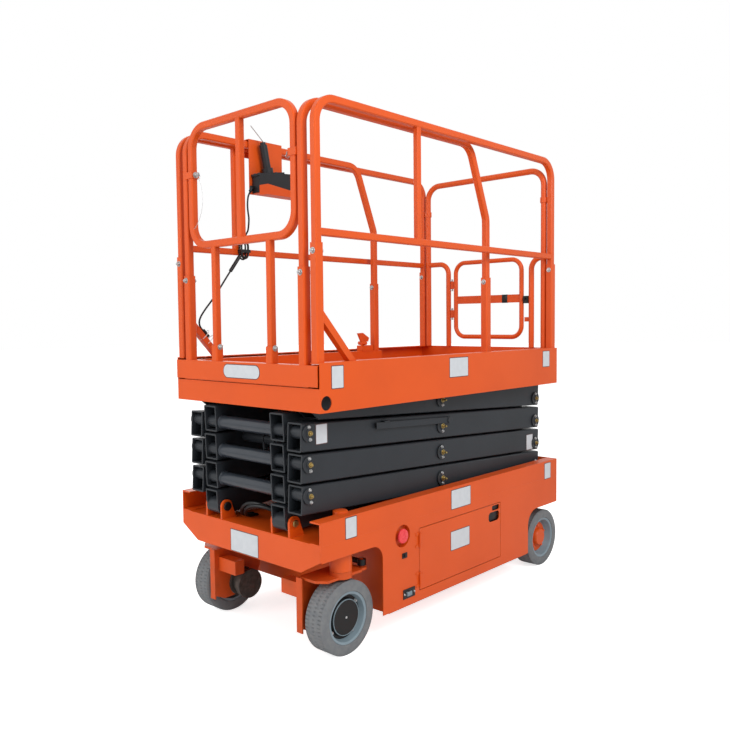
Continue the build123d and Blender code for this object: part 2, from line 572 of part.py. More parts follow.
def chassis_frame():
    """Side channels, front deck plate and bumper, bulkheads, kingpin bosses and rear axle plates."""
    front, rear = at(CHASSIS_FRONT), at(CHASSIS_REAR)
    inner = CHASSIS_HALF - PLATE
    track_front = REAR_PIN_Y - 990
    frame = None
    for side in SIDES.values():
        web = block(sorted((side * inner, side * CHASSIS_HALF)), (front, rear), (CHANNEL_BOTTOM, CHANNEL_TOP))
        flange_x = sorted((side * (CHASSIS_HALF - CHANNEL_FLANGE), side * CHASSIS_HALF))
        web += block(flange_x, (front, rear), (CHANNEL_TOP - PLATE, CHANNEL_TOP))
        web += block(flange_x, (front, rear), (CHANNEL_BOTTOM, CHANNEL_BOTTOM + PLATE))
        track_x = sorted((side * (CHASSIS_HALF - CHANNEL_FLANGE), side * (inner)))
        track_top = BASE_PIN_Z - ROLLER_RADIUS - SEAT_GAP
        web += block(track_x, (track_front, rear), (CHANNEL_BOTTOM, track_top))
        boss_y = at(FRONT_AXLE)
        web += bar_z(side * KINGPIN_X, boss_y, KINGPIN_BOTTOM, DECK_PLATE_TOP, KINGPIN_BOSS)
        column = bar_z(side * KINGPIN_X, boss_y, DECK_PLATE_TOP, CHANNEL_TOP + 3, KINGPIN_CAP)
        arm_side = side * (OUTER_ARM_X + ARM_WIDTH / 2 + SIDE_GAP)
        web += column - block(sorted((0.0, arm_side)), (front, boss_y + 90), (CHANNEL_TOP - 12, CHANNEL_TOP + 9))
        gusset = outline((side * (KINGPIN_X - KINGPIN_BOSS + 4), KINGPIN_BOTTOM + 46),
                         (side * (KINGPIN_X - KINGPIN_BOSS - 52), DECK_PLATE_TOP - 1),
                         (side * (KINGPIN_X - KINGPIN_BOSS + 4), DECK_PLATE_TOP - 1))
        web += sheet_xz(gusset, boss_y - 4, boss_y + 4)
        axle_y = at(FRONT_AXLE + WHEELBASE)
        plate_in = AXLE_PLATE_X - AXLE_PLATE
        hanger = outline((axle_y - 82, CHANNEL_BOTTOM), (axle_y - 82, TYRE_RADIUS + 60), (axle_y - 44, TYRE_RADIUS - 50),
                         (axle_y + 44, TYRE_RADIUS - 50), (axle_y + 78, TYRE_RADIUS + 60), (axle_y + 78, CHANNEL_BOTTOM))
        web += sheet_yz(hanger, side * plate_in, side * AXLE_PLATE_X)
        web += block(sorted((side * plate_in, side * inner)), (axle_y - 82, rear), (CHANNEL_BOTTOM - PLATE, CHANNEL_BOTTOM))
        web += bar_x(side * plate_in, side * (WHEEL_CENTRE_X + 12), axle_y, TYRE_RADIUS, AXLE_RADIUS)
        spine_x = sorted((side * SPINE_HALF, side * (SPINE_HALF + PLATE)))
        web += block(spine_x, (at(BULKHEAD), at(REAR_ARCH)), (SKIRT_BOTTOM, CHANNEL_BOTTOM))
        frame = web if frame is None else frame + web
    frame += block((-inner, inner), (front, at(BULKHEAD) + PLATE), (CHANNEL_BOTTOM - 3, DECK_PLATE_TOP))
    bumper = outline((-CHASSIS_HALF, DECK_PLATE_TOP), (CHASSIS_HALF, DECK_PLATE_TOP),
                     (CHASSIS_HALF, BUMPER_SHOULDER), (BUMPER_FLAT_HALF, BUMPER_BOTTOM),
                     (-BUMPER_FLAT_HALF, BUMPER_BOTTOM), (-CHASSIS_HALF, BUMPER_SHOULDER))
    frame += sheet_xz(bumper, front, front + PLATE)
    plate_edge = CHASSIS_HALF - PLATE
    for y in (at(BULKHEAD), at(REAR_ARCH) - PLATE):
        frame += block((-plate_edge, plate_edge), (y, y + PLATE), (SKIRT_BOTTOM, CHANNEL_BOTTOM))
    frame += block((-plate_edge, plate_edge), (at(BULKHEAD), at(REAR_ARCH)), (SKIRT_BOTTOM - PLATE, SKIRT_BOTTOM))
    frame += block((-CHASSIS_HALF, CHASSIS_HALF), (rear - PLATE, rear), (REAR_BOX_BOTTOM, CHANNEL_TOP))
    frame += block((-AXLE_PLATE_X, AXLE_PLATE_X), (at(REAR_ARCH) - PLATE, rear), (CHANNEL_BOTTOM - PLATE, CHANNEL_BOTTOM))
    frame += clevis_ears()
    for side in SIDES.values():
        frame -= bar_z(side * KINGPIN_X, at(FRONT_AXLE), KINGPIN_BOTTOM - 1, CHANNEL_TOP - 10, KINGPIN_RADIUS + RUNNING_FIT)
    return frame


nodes["chassis_frame"] = chassis_frame()


def side_skirt(side):
    """Side plate under a channel, with both wheel arches and the opening for the door."""
    front, rear = at(CHASSIS_FRONT) + PLATE, at(CHASSIS_REAR) - PLATE
    shape = outline((front, CHANNEL_BOTTOM), (front, ARCH_TOP), (at(ARCH_REAR), ARCH_TOP),
                    (at(ARCH_REAR), SKIRT_BOTTOM), (at(REAR_ARCH), SKIRT_BOTTOM),
                    (at(REAR_ARCH), REAR_BOX_BOTTOM), (rear, REAR_BOX_BOTTOM), (rear, CHANNEL_BOTTOM))
    arch = [v for v in shape.vertices() if abs(v.X - at(ARCH_REAR)) < 1 and abs(v.Y - ARCH_TOP) < 1]
    shape = fillet(arch, ARCH_RADIUS)
    back = [v for v in shape.vertices() if abs(v.X - at(REAR_ARCH)) < 1 and abs(v.Y - REAR_BOX_BOTTOM) < 1]
    shape = fillet(back, REAR_ARCH_RADIUS)
    door = Pos(at(DOOR_FRONT + DOOR_LENGTH / 2), (DOOR_BOTTOM + DOOR_TOP) / 2)
    shape -= door * RectangleRounded(DOOR_LENGTH, DOOR_TOP - DOOR_BOTTOM, 8)
    skirt = sheet_yz(shape, side * (CHASSIS_HALF - SHEET), side * CHASSIS_HALF)
    for z in door_hinge_heights():
        skirt += hinge_half(side, z, fixed=True)
    if side > 0:
        y, back = at(STOP_STATION), CHASSIS_HALF - STOP_CUP_DEPTH
        skirt += bar_x(back, CHASSIS_HALF - 1, y, STOP_Z, STOP_CUP_RADIUS + 3)
        skirt -= bar_x(back + 3, CHASSIS_HALF + 1, y, STOP_Z, STOP_CUP_RADIUS)
    return skirt


def door_hinge_heights():
    """Z of the middles of a door's two hinges."""
    return DOOR_BOTTOM + HINGE_FROM_EDGE, DOOR_TOP - HINGE_FROM_EDGE


def hinge_half(side, z, fixed):
    """One half of a door hinge: the skirt's leaf with its pin and short barrels, or the door's leaf and barrel."""
    x = side * (CHASSIS_HALF + HINGE_BARREL)
    y = at(DOOR_FRONT + DOOR_GAP / 2)
    half = HINGE_LENGTH / 2
    if fixed:
        spans, reach = ((z - half - 12, z - half - SEAT_GAP), (z + half + SEAT_GAP, z + half + 12)), -24.0
    else:
        spans, reach = ((z - half, z + half),), 24.0
    hinge = None
    for z0, z1 in spans:
        piece = bar_z(x, y, z0, z1, HINGE_BARREL)
        piece += block(sorted((side * CHASSIS_HALF, side * (CHASSIS_HALF + HINGE_LEAF))), sorted((y, y + reach)), (z0, z1))
        hinge = piece if hinge is None else hinge + piece
    if fixed:
        return hinge + bar_z(x, y, z - half - 12, z + half + 12, HINGE_PIN_RADIUS)
    return hinge - bar_z(x, y, z - half - 1, z + half + 1, HINGE_PIN_RADIUS + RUNNING_FIT)


def side_door(side):
    """Compartment door with return flanges and two finger slots by its rear top corner."""
    length = DOOR_LENGTH - 2 * DOOR_GAP
    height = DOOR_TOP - DOOR_BOTTOM - 2 * DOOR_GAP
    middle_y = at(DOOR_FRONT + DOOR_LENGTH / 2)
    middle_z = (DOOR_BOTTOM + DOOR_TOP) / 2
    face = Pos(middle_y, middle_z) * RectangleRounded(length, height, 6)
    slot_end = middle_y + length / 2 - SLOT_INSET
    for (slot_length, slot_height), z in ((SMALL_SLOT, DOOR_TOP - 20), (HAND_HOLE, DOOR_TOP - 61)):
        face -= Pos(slot_end - slot_length / 2, z) * RectangleRounded(slot_length, slot_height, slot_height * 0.4)
    outer, inner = side * CHASSIS_HALF, side * (CHASSIS_HALF - SHEET)
    door = sheet_yz(face, inner, outer)
    deep = side * (CHASSIS_HALF - SHEET - DOOR_RETURN)
    y1 = middle_y + length / 2
    y0 = middle_y - length / 2 + 20
    inset = 4.0
    z0, z1 = middle_z - height / 2 + inset, middle_z + height / 2 - inset
    flange_x = sorted((inner, deep))
    door += block(flange_x, (y0, y1 - inset), (z0, z0 + 3))
    door += block(flange_x, (y0, y1 - inset), (z1 - 3, z1))
    door += block(flange_x, (y1 - inset - 3, y1 - inset), (z0, z1))
    for z in door_hinge_heights():
        door += hinge_half(side, z, fixed=False)
    return door


for name, side in SIDES.items():
    nodes[f"side_skirt_{name}"] = side_skirt(side)
    nodes[f"door_{name}"] = side_door(side)


def battery_pack():
    """Traction batteries as one plain block behind the left door."""
    inner = SPINE_HALF + PLATE
    y0, y1 = at(BATTERY_STATIONS[0]), at(BATTERY_STATIONS[1])
    return block((inner, inner + BATTERY_DEPTH), (y0, y1), (SKIRT_BOTTOM, BATTERY_TOP))


def hydraulic_unit():
    """Oil tank, pump motor and valve block behind the right door."""
    inner = -SPINE_HALF - PLATE
    y0, y1 = at(TANK_STATIONS[0]), at(TANK_STATIONS[1])
    middle = inner - BATTERY_DEPTH / 2
    pump_end = y1 + PUMP_LENGTH
    unit = block((inner - BATTERY_DEPTH, inner), (y0, y1), (SKIRT_BOTTOM, TANK_TOP))
    unit += bar_y(middle, y1, pump_end, SKIRT_BOTTOM + 2 * PUMP_RADIUS, PUMP_RADIUS)
    unit += block((middle - 50, middle + 50), (pump_end, pump_end + VALVE_LENGTH), (SKIRT_BOTTOM, TANK_TOP - 70))
    return unit


nodes["battery_pack"] = battery_pack()
nodes["hydraulic_unit"] = hydraulic_unit()


def rear_ladder():
    """Two-step ladder on the chassis end, for climbing to the gate."""
    rear = at(CHASSIS_REAR)
    back = rear + LADDER_DEPTH
    half = LADDER_HALF
    ladder = None
    for side in SIDES.values():
        stile_x = sorted((side * half, side * (half + LADDER_STILE)))
        stile = block(stile_x, (rear, back), (LADDER_BOTTOM, LADDER_TOP))
        ladder = stile if ladder is None else ladder + stile
    for z in LADDER_STEPS:
        ladder += block((-half, half), (rear + 8, back), (z, z + 6)) + block((-half, half), (back - 6, back), (z - 18, z))
    return ladder


nodes["rear_ladder"] = rear_ladder()


def side_controls():
    """Emergency stop button in the cup of the left skirt."""
    y, back = at(STOP_STATION), CHASSIS_HALF - STOP_CUP_DEPTH + 3
    button = bar_x(back, CHASSIS_HALF - 4, y, STOP_Z, STOP_BUTTON_RADIUS - 12)
    button += bar_x(CHASSIS_HALF - 5, CHASSIS_HALF + 6, y, STOP_Z, STOP_BUTTON_RADIUS)
    return button


def ground_panel():
    """Key switch and charger panel on the left skirt."""
    face = CHASSIS_HALF
    y, z = at(CHARGER_STATION), SKIRT_BOTTOM + 52
    panel = block((face, face + 3), (y - 38, y + 38), (z - 20, z + 20))
    panel += bar_x(face + 2, face + 9, y - 4, z, 12.0)
    y, z = at(SWITCH_STATION), STOP_Z - 84
    switch = block((face, face + 2.5), (y - 16, y + 16), (z - 11, z + 11))
    switch += bar_x(face + 2, face + 10, y, z, 7.0)
    return panel + switch


nodes["ground_panel"] = ground_panel()
nodes["side_controls"] = side_controls()


# ---------------------------------------------------------------- steering
def knuckle(side):
    """Steering knuckle: top plate with its kingpin and steering arm, upright plate and axle."""
    axle_y = at(FRONT_AXLE)
    z0, z1 = STEER_PLATE_BOTTOM, STEER_PLATE_TOP
    outer = KINGPIN_X + 26
    plate = outline((side * KNUCKLE_X, axle_y - 128), (side * (outer - 40), axle_y - 128),
                    (side * outer, axle_y - 96), (side * outer, axle_y + 96), (side * (outer - 30), axle_y + 118),
                    (side * (KNUCKLE_X + 30), axle_y + 118), (side * KNUCKLE_X, axle_y + 96))
    body = extrude(Plane.XY.offset(z0) * plate, amount=z1 - z0)
    body += bar_z(side * KINGPIN_X, axle_y, z0, KINGPIN_BOTTOM - 1, KINGPIN_BOSS)
    body += bar_z(side * KINGPIN_X, axle_y, z0, CHANNEL_TOP - 20, KINGPIN_RADIUS)
    body += bar_z(side * KINGPIN_X, axle_y + STEER_ARM, z0, z1, 20.0)
    body += bar_z(side * KINGPIN_X, axle_y + STEER_ARM, z1, TIE_ROD_Z + 12, STEER_PIN_RADIUS)
    upright_x = sorted((side * KNUCKLE_X, side * (KNUCKLE_X + KNUCKLE_PLATE)))
    upright = outline((axle_y - 136, STEER_PLATE_TOP), (axle_y + 110, STEER_PLATE_TOP),
                      (axle_y + 110, 190.0), (axle_y + 60, 96.0), (axle_y - 90, 88.0), (axle_y - 136, 110.0))
    body += sheet_yz(upright, *upright_x)
    body += block(sorted((side * KNUCKLE_X, side * (KNUCKLE_X + 32))), (axle_y - 142, axle_y - 136), (96.0, STEER_PLATE_TOP))
    guard_x = sorted((side * (KNUCKLE_X - 116), side * KNUCKLE_X))
    guard_z = STEER_PLATE_BOTTOM - 54
    body += block(guard_x, (axle_y - 118, axle_y - 70), (guard_z - 30, guard_z + 30))
    body += bar_x(side * (KNUCKLE_X + KNUCKLE_PLATE), side * (WHEEL_CENTRE_X + 12), axle_y, TYRE_RADIUS, AXLE_RADIUS)
    return body


def drive_motor(side):
    """Wheel motor bolted to the inside of the knuckle's upright plate."""
    y = at(FRONT_AXLE)
    motor = bar_x(side * KNUCKLE_X, side * (KNUCKLE_X - 10), y, TYRE_RADIUS, MOTOR_RADIUS)
    motor += bar_x(side * (KNUCKLE_X - 10), side * (MOTOR_FACE_X + 26), y, TYRE_RADIUS, MOTOR_RADIUS - 16)
    motor += bar_x(side * (MOTOR_FACE_X + 26), side * MOTOR_FACE_X, y, TYRE_RADIUS, MOTOR_RADIUS)
    return motor


for name, side in SIDES.items():
    nodes[f"knuckle_{name}"] = knuckle(side)
    nodes[f"drive_motor_{name}"] = drive_motor(side)


def tie_rod():
    """Round rod with an eye at each end on the steering arms' pins."""
    y = at(FRONT_AXLE) + STEER_ARM
    rod = bar_x(-KINGPIN_X, KINGPIN_X, y, TIE_ROD_Z, TIE_ROD_RADIUS)
    rod += bar_z(0, y, TIE_ROD_Z, TIE_ROD_Z + 22, 12.0)
    for side in SIDES.values():
        rod += bar_z(side * KINGPIN_X, y, TIE_ROD_Z - 12, TIE_ROD_Z + 12, 18.0)
    for side in SIDES.values():
        rod -= bar_z(side * KINGPIN_X, y, TIE_ROD_Z - 14, TIE_ROD_Z + 14, STEER_PIN_RADIUS + RUNNING_FIT)
    return rod


nodes["tie_rod"] = tie_rod()


def steer_cylinder():
    """Steering cylinder under the deck plate: barrel with its bracket, and rod with its eye."""
    y = at(FRONT_AXLE) + STEER_ARM
    x0 = -STEER_BARREL_OUTER
    x1 = x0 + STEER_BARREL_LENGTH
    barrel = bar_x(x0, x1, y, STEER_CYLINDER_Z, STEER_CYLINDER_RADIUS)
    barrel += block((x0 + 20, x0 + 60), (y - 20, y + 20), (STEER_CYLINDER_Z, CHANNEL_BOTTOM - 3))
    barrel += block((x1 - 60, x1 - 20), (y - 20, y + 20), (STEER_CYLINDER_Z, CHANNEL_BOTTOM - 3))
    barrel -= bar_x(x0 + 12, x1 + 1, y, STEER_CYLINDER_Z, STEER_ROD_RADIUS + RUNNING_FIT)
    rod = bar_x(x1 - 140, -14.0, y, STEER_CYLINDER_Z, STEER_ROD_RADIUS)
    rod += bar_z(0, y, STEER_CYLINDER_Z - 12, STEER_CYLINDER_Z + 12, 18.0)
    return barrel, rod


nodes["steer_barrel"], nodes["steer_rod"] = steer_cylinder()


# ---------------------------------------------------------------- wheels
def tyre(side, y):
    """Solid rubber tyre: a flat-sided tread with eased shoulders round the rim's seat."""
    tread = Pos(0, 0, -TYRE_WIDTH / 2) * extrude(
        RegularPolygon(TYRE_RADIUS, TREAD_SIDES, major_radius=False, rotation=180 / TREAD_SIDES), amount=TYRE_WIDTH)
    shoulders = tread.faces().sort_by(Axis.Z)[0].edges() + tread.faces().sort_by(Axis.Z)[-1].edges()
    ring = chamfer(shoulders, TYRE_SHOULDER)
    ring -= Cylinder(RIM_RADIUS, TYRE_WIDTH + 2)
    return Pos(side * WHEEL_CENTRE_X, y, TYRE_RADIUS) * Rot(0, 90, 0) * ring


def wheel_profile(points):
    """Body of revolution about X from (radius, x) corners."""
    section = make_face(Polyline(*[(r, 0, x) for r, x in points], close=True))
    return Rot(0, 90, 0) * revolve(section, Axis.Z)


def hub(side, y, driven):
    """Rim, web and hub; the driven wheel has a flat cover disc, the free one a stepped hub."""
    half = TYRE_WIDTH / 2
    bore = AXLE_RADIUS + RUNNING_FIT
    if driven:
        points = [(bore, -half + 14), (HUB_RADIUS, -half + 14), (HUB_RADIUS, 8.0), (RIM_WELL, 8.0),
                  (RIM_WELL, -half + 4), (RIM_RADIUS - RUNNING_FIT, -half + 4), (RIM_RADIUS - RUNNING_FIT, half - 4),
                  (RIM_WELL, half - 4), (RIM_WELL, 20.0), (HUB_DISC_RADIUS, 20.0), (HUB_DISC_RADIUS, half - 14),
                  (0.0, half - 14), (0.0, 16.0), (bore, 16.0)]
    else:
        points = [(bore, -half + 14), (HUB_RADIUS, -half + 14), (HUB_RADIUS, -6.0), (RIM_WELL, -6.0),
                  (RIM_WELL, -half + 4), (RIM_RADIUS - RUNNING_FIT, -half + 4), (RIM_RADIUS - RUNNING_FIT, half - 4),
                  (RIM_WELL, half - 4), (RIM_WELL, 6.0), (HUB_RADIUS, 6.0), (HUB_RADIUS - 8, 34.0),
                  (0.0, 34.0), (0.0, 16.0), (bore, 16.0)]
    shape = wheel_profile(points)
    if side < 0:
        shape = mirror(shape, Plane.YZ)
    return Pos(side * WHEEL_CENTRE_X, y, TYRE_RADIUS) * shape


for end, station, driven in (("front", FRONT_AXLE, True), ("rear", FRONT_AXLE + WHEELBASE, False)):
    for name, side in SIDES.items():
        nodes[f"tyre_{end}_{name}"] = tyre(side, at(station))
        nodes[f"hub_{end}_{name}"] = hub(side, at(station), driven)


# ---------------------------------------------------------------- platform deck
def platform_deck():
    """Deck tray: floor, flanged side walls, roller tracks and the ears for the top front pins."""
    front, rear = at(0), at(DECK_LENGTH)
    inner = DECK_HALF - SHEET
    deck = block((-inner, inner), (front, rear), (FLOOR_TOP - FLOOR_SHEET, FLOOR_TOP))
    for side in SIDES.values():
        wall_x = sorted((side * inner, side * DECK_HALF))
        deck += block(wall_x, (front, rear), (DECK_BOTTOM, DECK_TOP))
        deck += block(sorted((side * (DECK_HALF - DECK_FLANGE), side * DECK_HALF)), (front, rear), (DECK_TOP - SHEET, DECK_TOP))
        track_x = sorted((side * (DECK_HALF - DECK_FLANGE - 10), side * DECK_HALF))
        track_top = pin_height(STAGES) - ROLLER_RADIUS - SEAT_GAP
        deck += block(track_x, (REAR_PIN_Y - 990, rear), (DECK_BOTTOM, track_top))
        guide_bottom = pin_height(STAGES) + ROLLER_RADIUS + SEAT_GAP
        deck += block(track_x, (REAR_PIN_Y - 990, rear), (guide_bottom, FLOOR_TOP - FLOOR_SHEET))
    deck += block((-DECK_HALF, DECK_HALF), (front, front + SHEET), (DECK_BOTTOM, FRONT_STRIP_TOP))
    deck += block((-DECK_HALF, DECK_HALF), (rear - SHEET, rear), (DECK_BOTTOM, DECK_TOP))
    under = FLOOR_TOP - FLOOR_SHEET
    rib_half = INNER_ARM_X - 50
    for station in FLOOR_RIBS:
        deck += block((-rib_half, rib_half), (at(station), at(station) + 40), (under - FLOOR_RIB_HEIGHT, under))
    for side in SIDES.values():
        strip_x = (side * EXTENSION_BEAM_X - WEAR_STRIP_WIDTH / 2, side * EXTENSION_BEAM_X + WEAR_STRIP_WIDTH / 2)
        strip_y = [at(station) for station in WEAR_STRIP_STATIONS]
        deck += block(strip_x, strip_y, (FLOOR_TOP, EXTENSION_FLOOR_Z - SEAT_GAP))
    deck += platform_ears()
    for side in SIDES.values():
        hole_x = sorted((side * (DECK_HALF - SHEET - 1), side * (DECK_HALF + 1)))
        deck -= bar_x(*hole_x, FRONT_PIN_Y, pin_height(STAGES), ACCESS_HOLE_RADIUS)
    return deck


def platform_ears():
    """Ears under the floor that carry the last outer arms' front pins."""
    ears = None
    z = pin_height(STAGES)
    y = FRONT_PIN_Y
    top = FLOOR_TOP - FLOOR_SHEET
    outer_face = OUTER_ARM_X + ARM_WIDTH / 2 + BOSS_PROUD + CAP_THICKNESS
    inner_edge = OUTER_ARM_X - ARM_WIDTH / 2
    for side in SIDES.values():
        for x0, x1 in ((outer_face + 3, outer_face + 3 + EAR_PLATE), (inner_edge - 14, inner_edge - 6)):
            web = outline((y - EAR_RADIUS + 4, z), (y + EAR_RADIUS - 4, z), (y + EAR_RADIUS + 24, top), (y - EAR_RADIUS + 4, top))
            ear = sheet_yz(web, side * x0, side * x1) + bar_x(side * x0, side * x1, y, z, EAR_RADIUS - 4)
            ears = ear if ears is None else ears + ear
        ears -= bar_x(side * (inner_edge - 16), side * (outer_face + 20), y, z, PIN_RADIUS + RUNNING_FIT)
    return ears


nodes["platform_deck"] = platform_deck()


def platform_sleeves():
    """Post sleeves on the deck's side flanges, and the front posts' braces."""
    sleeves = None
    front_y = at(POST_SETBACK)
    rear_y = at(DECK_LENGTH - POST_SETBACK)
    lean = math.atan2(BRACE_RISE, BRACE_RUN)
    for side in SIDES.values():
        for y in (front_y, rear_y):
            sleeve = square_sleeve(side * MAIN_RAIL_X, y, DECK_TOP, MAIN_SLEEVE_TOP)
            sleeves = sleeve if sleeves is None else sleeves + sleeve
        x0, x1 = side * MAIN_RAIL_X - INFILL / 2, side * MAIN_RAIL_X + INFILL / 2
        y0 = front_y + SLEEVE / 2 - 1
        foot = y0 + BRACE_RUN - INFILL / math.sin(lean)
        brace = outline((y0, DECK_TOP + BRACE_RISE), (y0 + BRACE_RUN, DECK_TOP), (foot, DECK_TOP),
                        (y0, DECK_TOP + BRACE_RISE - INFILL / math.cos(lean)))
        sleeves += sheet_yz(brace, x0, x1)
    return sleeves


nodes["platform_sleeves"] = platform_sleeves()


def main_side_rail(side, stub_station):
    """Bent top rail with both posts, mid rail and one stub post between them."""
    x = side * MAIN_RAIL_X
    front_y = at(POST_SETBACK)
    rear_y = at(DECK_LENGTH - POST_SETBACK)
    path = [(x, front_y, DECK_TOP), (x, front_y, TOP_RAIL_Z), (x, rear_y, TOP_RAIL_Z), (x, rear_y, DECK_TOP)]
    rail = bent_tube(path, (1, 0, 0), RAIL)
    rail += infill((x, front_y, MID_RAIL_Z), (x, rear_y, MID_RAIL_Z), (1, 0, 0))
    y = at(stub_station)
    rail += infill((x, y, MID_RAIL_Z), (x, y, TOP_RAIL_Z), (1, 0, 0), STUB)
    return rail


nodes["side_rail_left"] = main_side_rail(1, LEFT_STUB)
nodes["side_rail_right"] = main_side_rail(-1, RIGHT_STUB)


def rear_rail():
    """Bent rear top rail with its posts, and the fixed frames each side of the gate."""
    y = at(DECK_LENGTH - POST_SETBACK)
    x = REAR_FRAME_X
    rail = bent_tube([(-x, y, DECK_TOP), (-x, y, REAR_FRAME_TOP), (x, y, REAR_FRAME_TOP), (x, y, DECK_TOP)],
                     (0, 1, 0), ROUND_RAIL, bend=80, corner=0)
    for post_x, side in ((RIGHT_LOWER_POST_X, -1), (LEFT_LOWER_POST_X, 1)):
        rail += bent_tube([(side * x, y, MID_RAIL_Z), (post_x, y, MID_RAIL_Z), (post_x, y, DECK_TOP)],
                          (0, 1, 0), LOWER_FRAME_RAIL, bend=60, corner=0)
    for side in SIDES.values():
        rail += bar_z(side * x, y, CLAMP_Z - CLAMP_HEIGHT / 2, CLAMP_Z + CLAMP_HEIGHT / 2, ROUND_RAIL / 2 + 4)
        lug_x = sorted((side * x, side * (MAIN_RAIL_X - RAIL / 2 - SEAT_GAP)))
        rail += block(lug_x, (y - 6, y + 6), (CLAMP_Z - CLAMP_HEIGHT / 2 + 3, CLAMP_Z + CLAMP_HEIGHT / 2 - 3))
    lug_x = (LEFT_LOWER_POST_X - 41, LEFT_LOWER_POST_X)
    rail += block(lug_x, (y - 3, y + 3), (GATE_BOTTOM + 84, GATE_BOTTOM + 108))
    return rail


nodes["rear_rail"] = rear_rail()


def gate():
    """Entry gate: rounded frame with a flat middle bar, two hinge leaves and a latch lug."""
    y = at(DECK_LENGTH - POST_SETBACK)
    x0, x1, z0, z1 = GATE_LEFT_X, GATE_RIGHT_X, GATE_BOTTOM, GATE_TOP
    frame = ring_tube(x0, x1, y, z0, z1, GATE_RAIL, 62.0, 0)
    half = GATE_BAR_HEIGHT / 2
    frame += block((x0, x1), (y - 4, y + 4), (GATE_BAR_Z - half, GATE_BAR_Z + half))
    for z in HINGE_HEIGHTS:
        frame += block((GATE_HINGE_X, x0), (y - 3, y + 3), (z - 22, z + 22))
        frame += bar_z(GATE_HINGE_X, y, z - 22, z + 22, 7.0)
    for z in HINGE_HEIGHTS:
        frame -= bar_z(GATE_HINGE_X, y, z - 24, z + 24, 3.0 + RUNNING_FIT)
    return frame


def gate_hinges():
    """Hinge pins and leaves on the fixed post beside the gate."""
    y = at(DECK_LENGTH - POST_SETBACK)
    leaves = None
    for z in HINGE_HEIGHTS:
        leaf = bar_z(GATE_HINGE_X, y, z - 34, z + 34, 3.0)
        for z0, z1 in ((z - 34, z - 22.3), (z + 22.3, z + 34)):
            leaf += bar_z(GATE_HINGE_X, y, z0, z1, 7.0)
            leaf += block((RIGHT_LOWER_POST_X + LOWER_FRAME_RAIL / 2, GATE_HINGE_X), (y - 3, y + 3), (z0, z1))
        leaves = leaf if leaves is None else leaves + leaf
    return leaves


def gate_latch():
    """Latch body on the fixed post, beside the gate's middle bar."""
    y = at(DECK_LENGTH - POST_SETBACK)
    z = GATE_BAR_Z - 8
    x1 = LEFT_LOWER_POST_X - LOWER_FRAME_RAIL / 2 - SEAT_GAP
    x0 = GATE_RIGHT_X + GATE_RAIL / 2 + SIDE_GAP
    latch = block((x0, x1), (y - 11, y + 11), (z - 20, z + 20))
    latch += bar_y(x0 + 9, y - 22, y - 10, z + 6, 6.0) + block((x0 + 2, x1 - 4), (y + 10, y + 16), (z - 12, z + 4))
    return latch


nodes["gate"] = gate()
nodes["gate_hinges"] = gate_hinges()
nodes["gate_latch"] = gate_latch()


# ---------------------------------------------------------------- extension deck
def extension_deck():
    """Sliding deck: thin floor, two side beams and the front panel."""
    front = at(-PANEL_PROUD)
    beam = EXTENSION_BEAM_WIDTH / 2
    floor_bottom = EXTENSION_FLOOR_Z
    rear = at(EXTENSION_LENGTH)
    deck = block((-EXTENSION_BEAM_X, EXTENSION_BEAM_X), (front + SHEET, rear), (floor_bottom, PANEL_BOTTOM + 2))
    for side in SIDES.values():
        beam_x = sorted((side * (EXTENSION_BEAM_X - beam), side * (EXTENSION_BEAM_X + beam)))
        tube = block(beam_x, (front + SHEET, rear), (floor_bottom, PANEL_TOP))
        hollow_x = (beam_x[0] + SHEET, beam_x[1] - SHEET)
        tube -= block(hollow_x, (front + 40, rear + 1), (floor_bottom + SHEET, PANEL_TOP - SHEET))
        deck += tube
    deck += block((-PANEL_HALF, PANEL_HALF), (front, front + SHEET), (PANEL_BOTTOM, PANEL_TOP))
    beam_edge = EXTENSION_BEAM_X + beam
    deck += block((-beam_edge, beam_edge), (front, front + 42), (PANEL_TOP - SHEET, PANEL_TOP))
    deck += block((-PANEL_HALF, PANEL_HALF), (front, front + PANEL_PROUD - 1), (PANEL_TOP - SHEET, PANEL_TOP))
    return deck


def extension_sleeves():
    """Post sleeves on the extension's beams and front panel."""
    sleeves = None
    rear_y = at(EXTENSION_REAR_POST)
    front_y = at(FRONT_FRAME_Y)
    for side in SIDES.values():
        for y in (front_y, rear_y):
            sleeve = square_sleeve(side * EXTENSION_RAIL_X, y, PANEL_TOP, EXTENSION_SLEEVE_TOP)
            sleeves = sleeve if sleeves is None else sleeves + sleeve
        sleeves += square_sleeve(side * FRONT_POST_X, front_y, PANEL_TOP, FRONT_SLEEVE_TOP)
    return sleeves


def extension_rails():
    """Side rails of the extension: front post, top rail, slope and rear post in one bent tube."""
    rails = None
    front_y, rear_y = at(FRONT_FRAME_Y), at(EXTENSION_REAR_POST)
    for side in SIDES.values():
        x = side * EXTENSION_RAIL_X
        path = [(x, front_y, PANEL_TOP), (x, front_y, TOP_RAIL_Z), (x, at(EXTENSION_TOP_END), TOP_RAIL_Z),
                (x, rear_y, EXTENSION_SLOPE_END_Z), (x, rear_y, PANEL_TOP)]
        rail = bent_tube(path, (1, 0, 0), RAIL)
        rails = rail if rails is None else rails + rail
    return rails


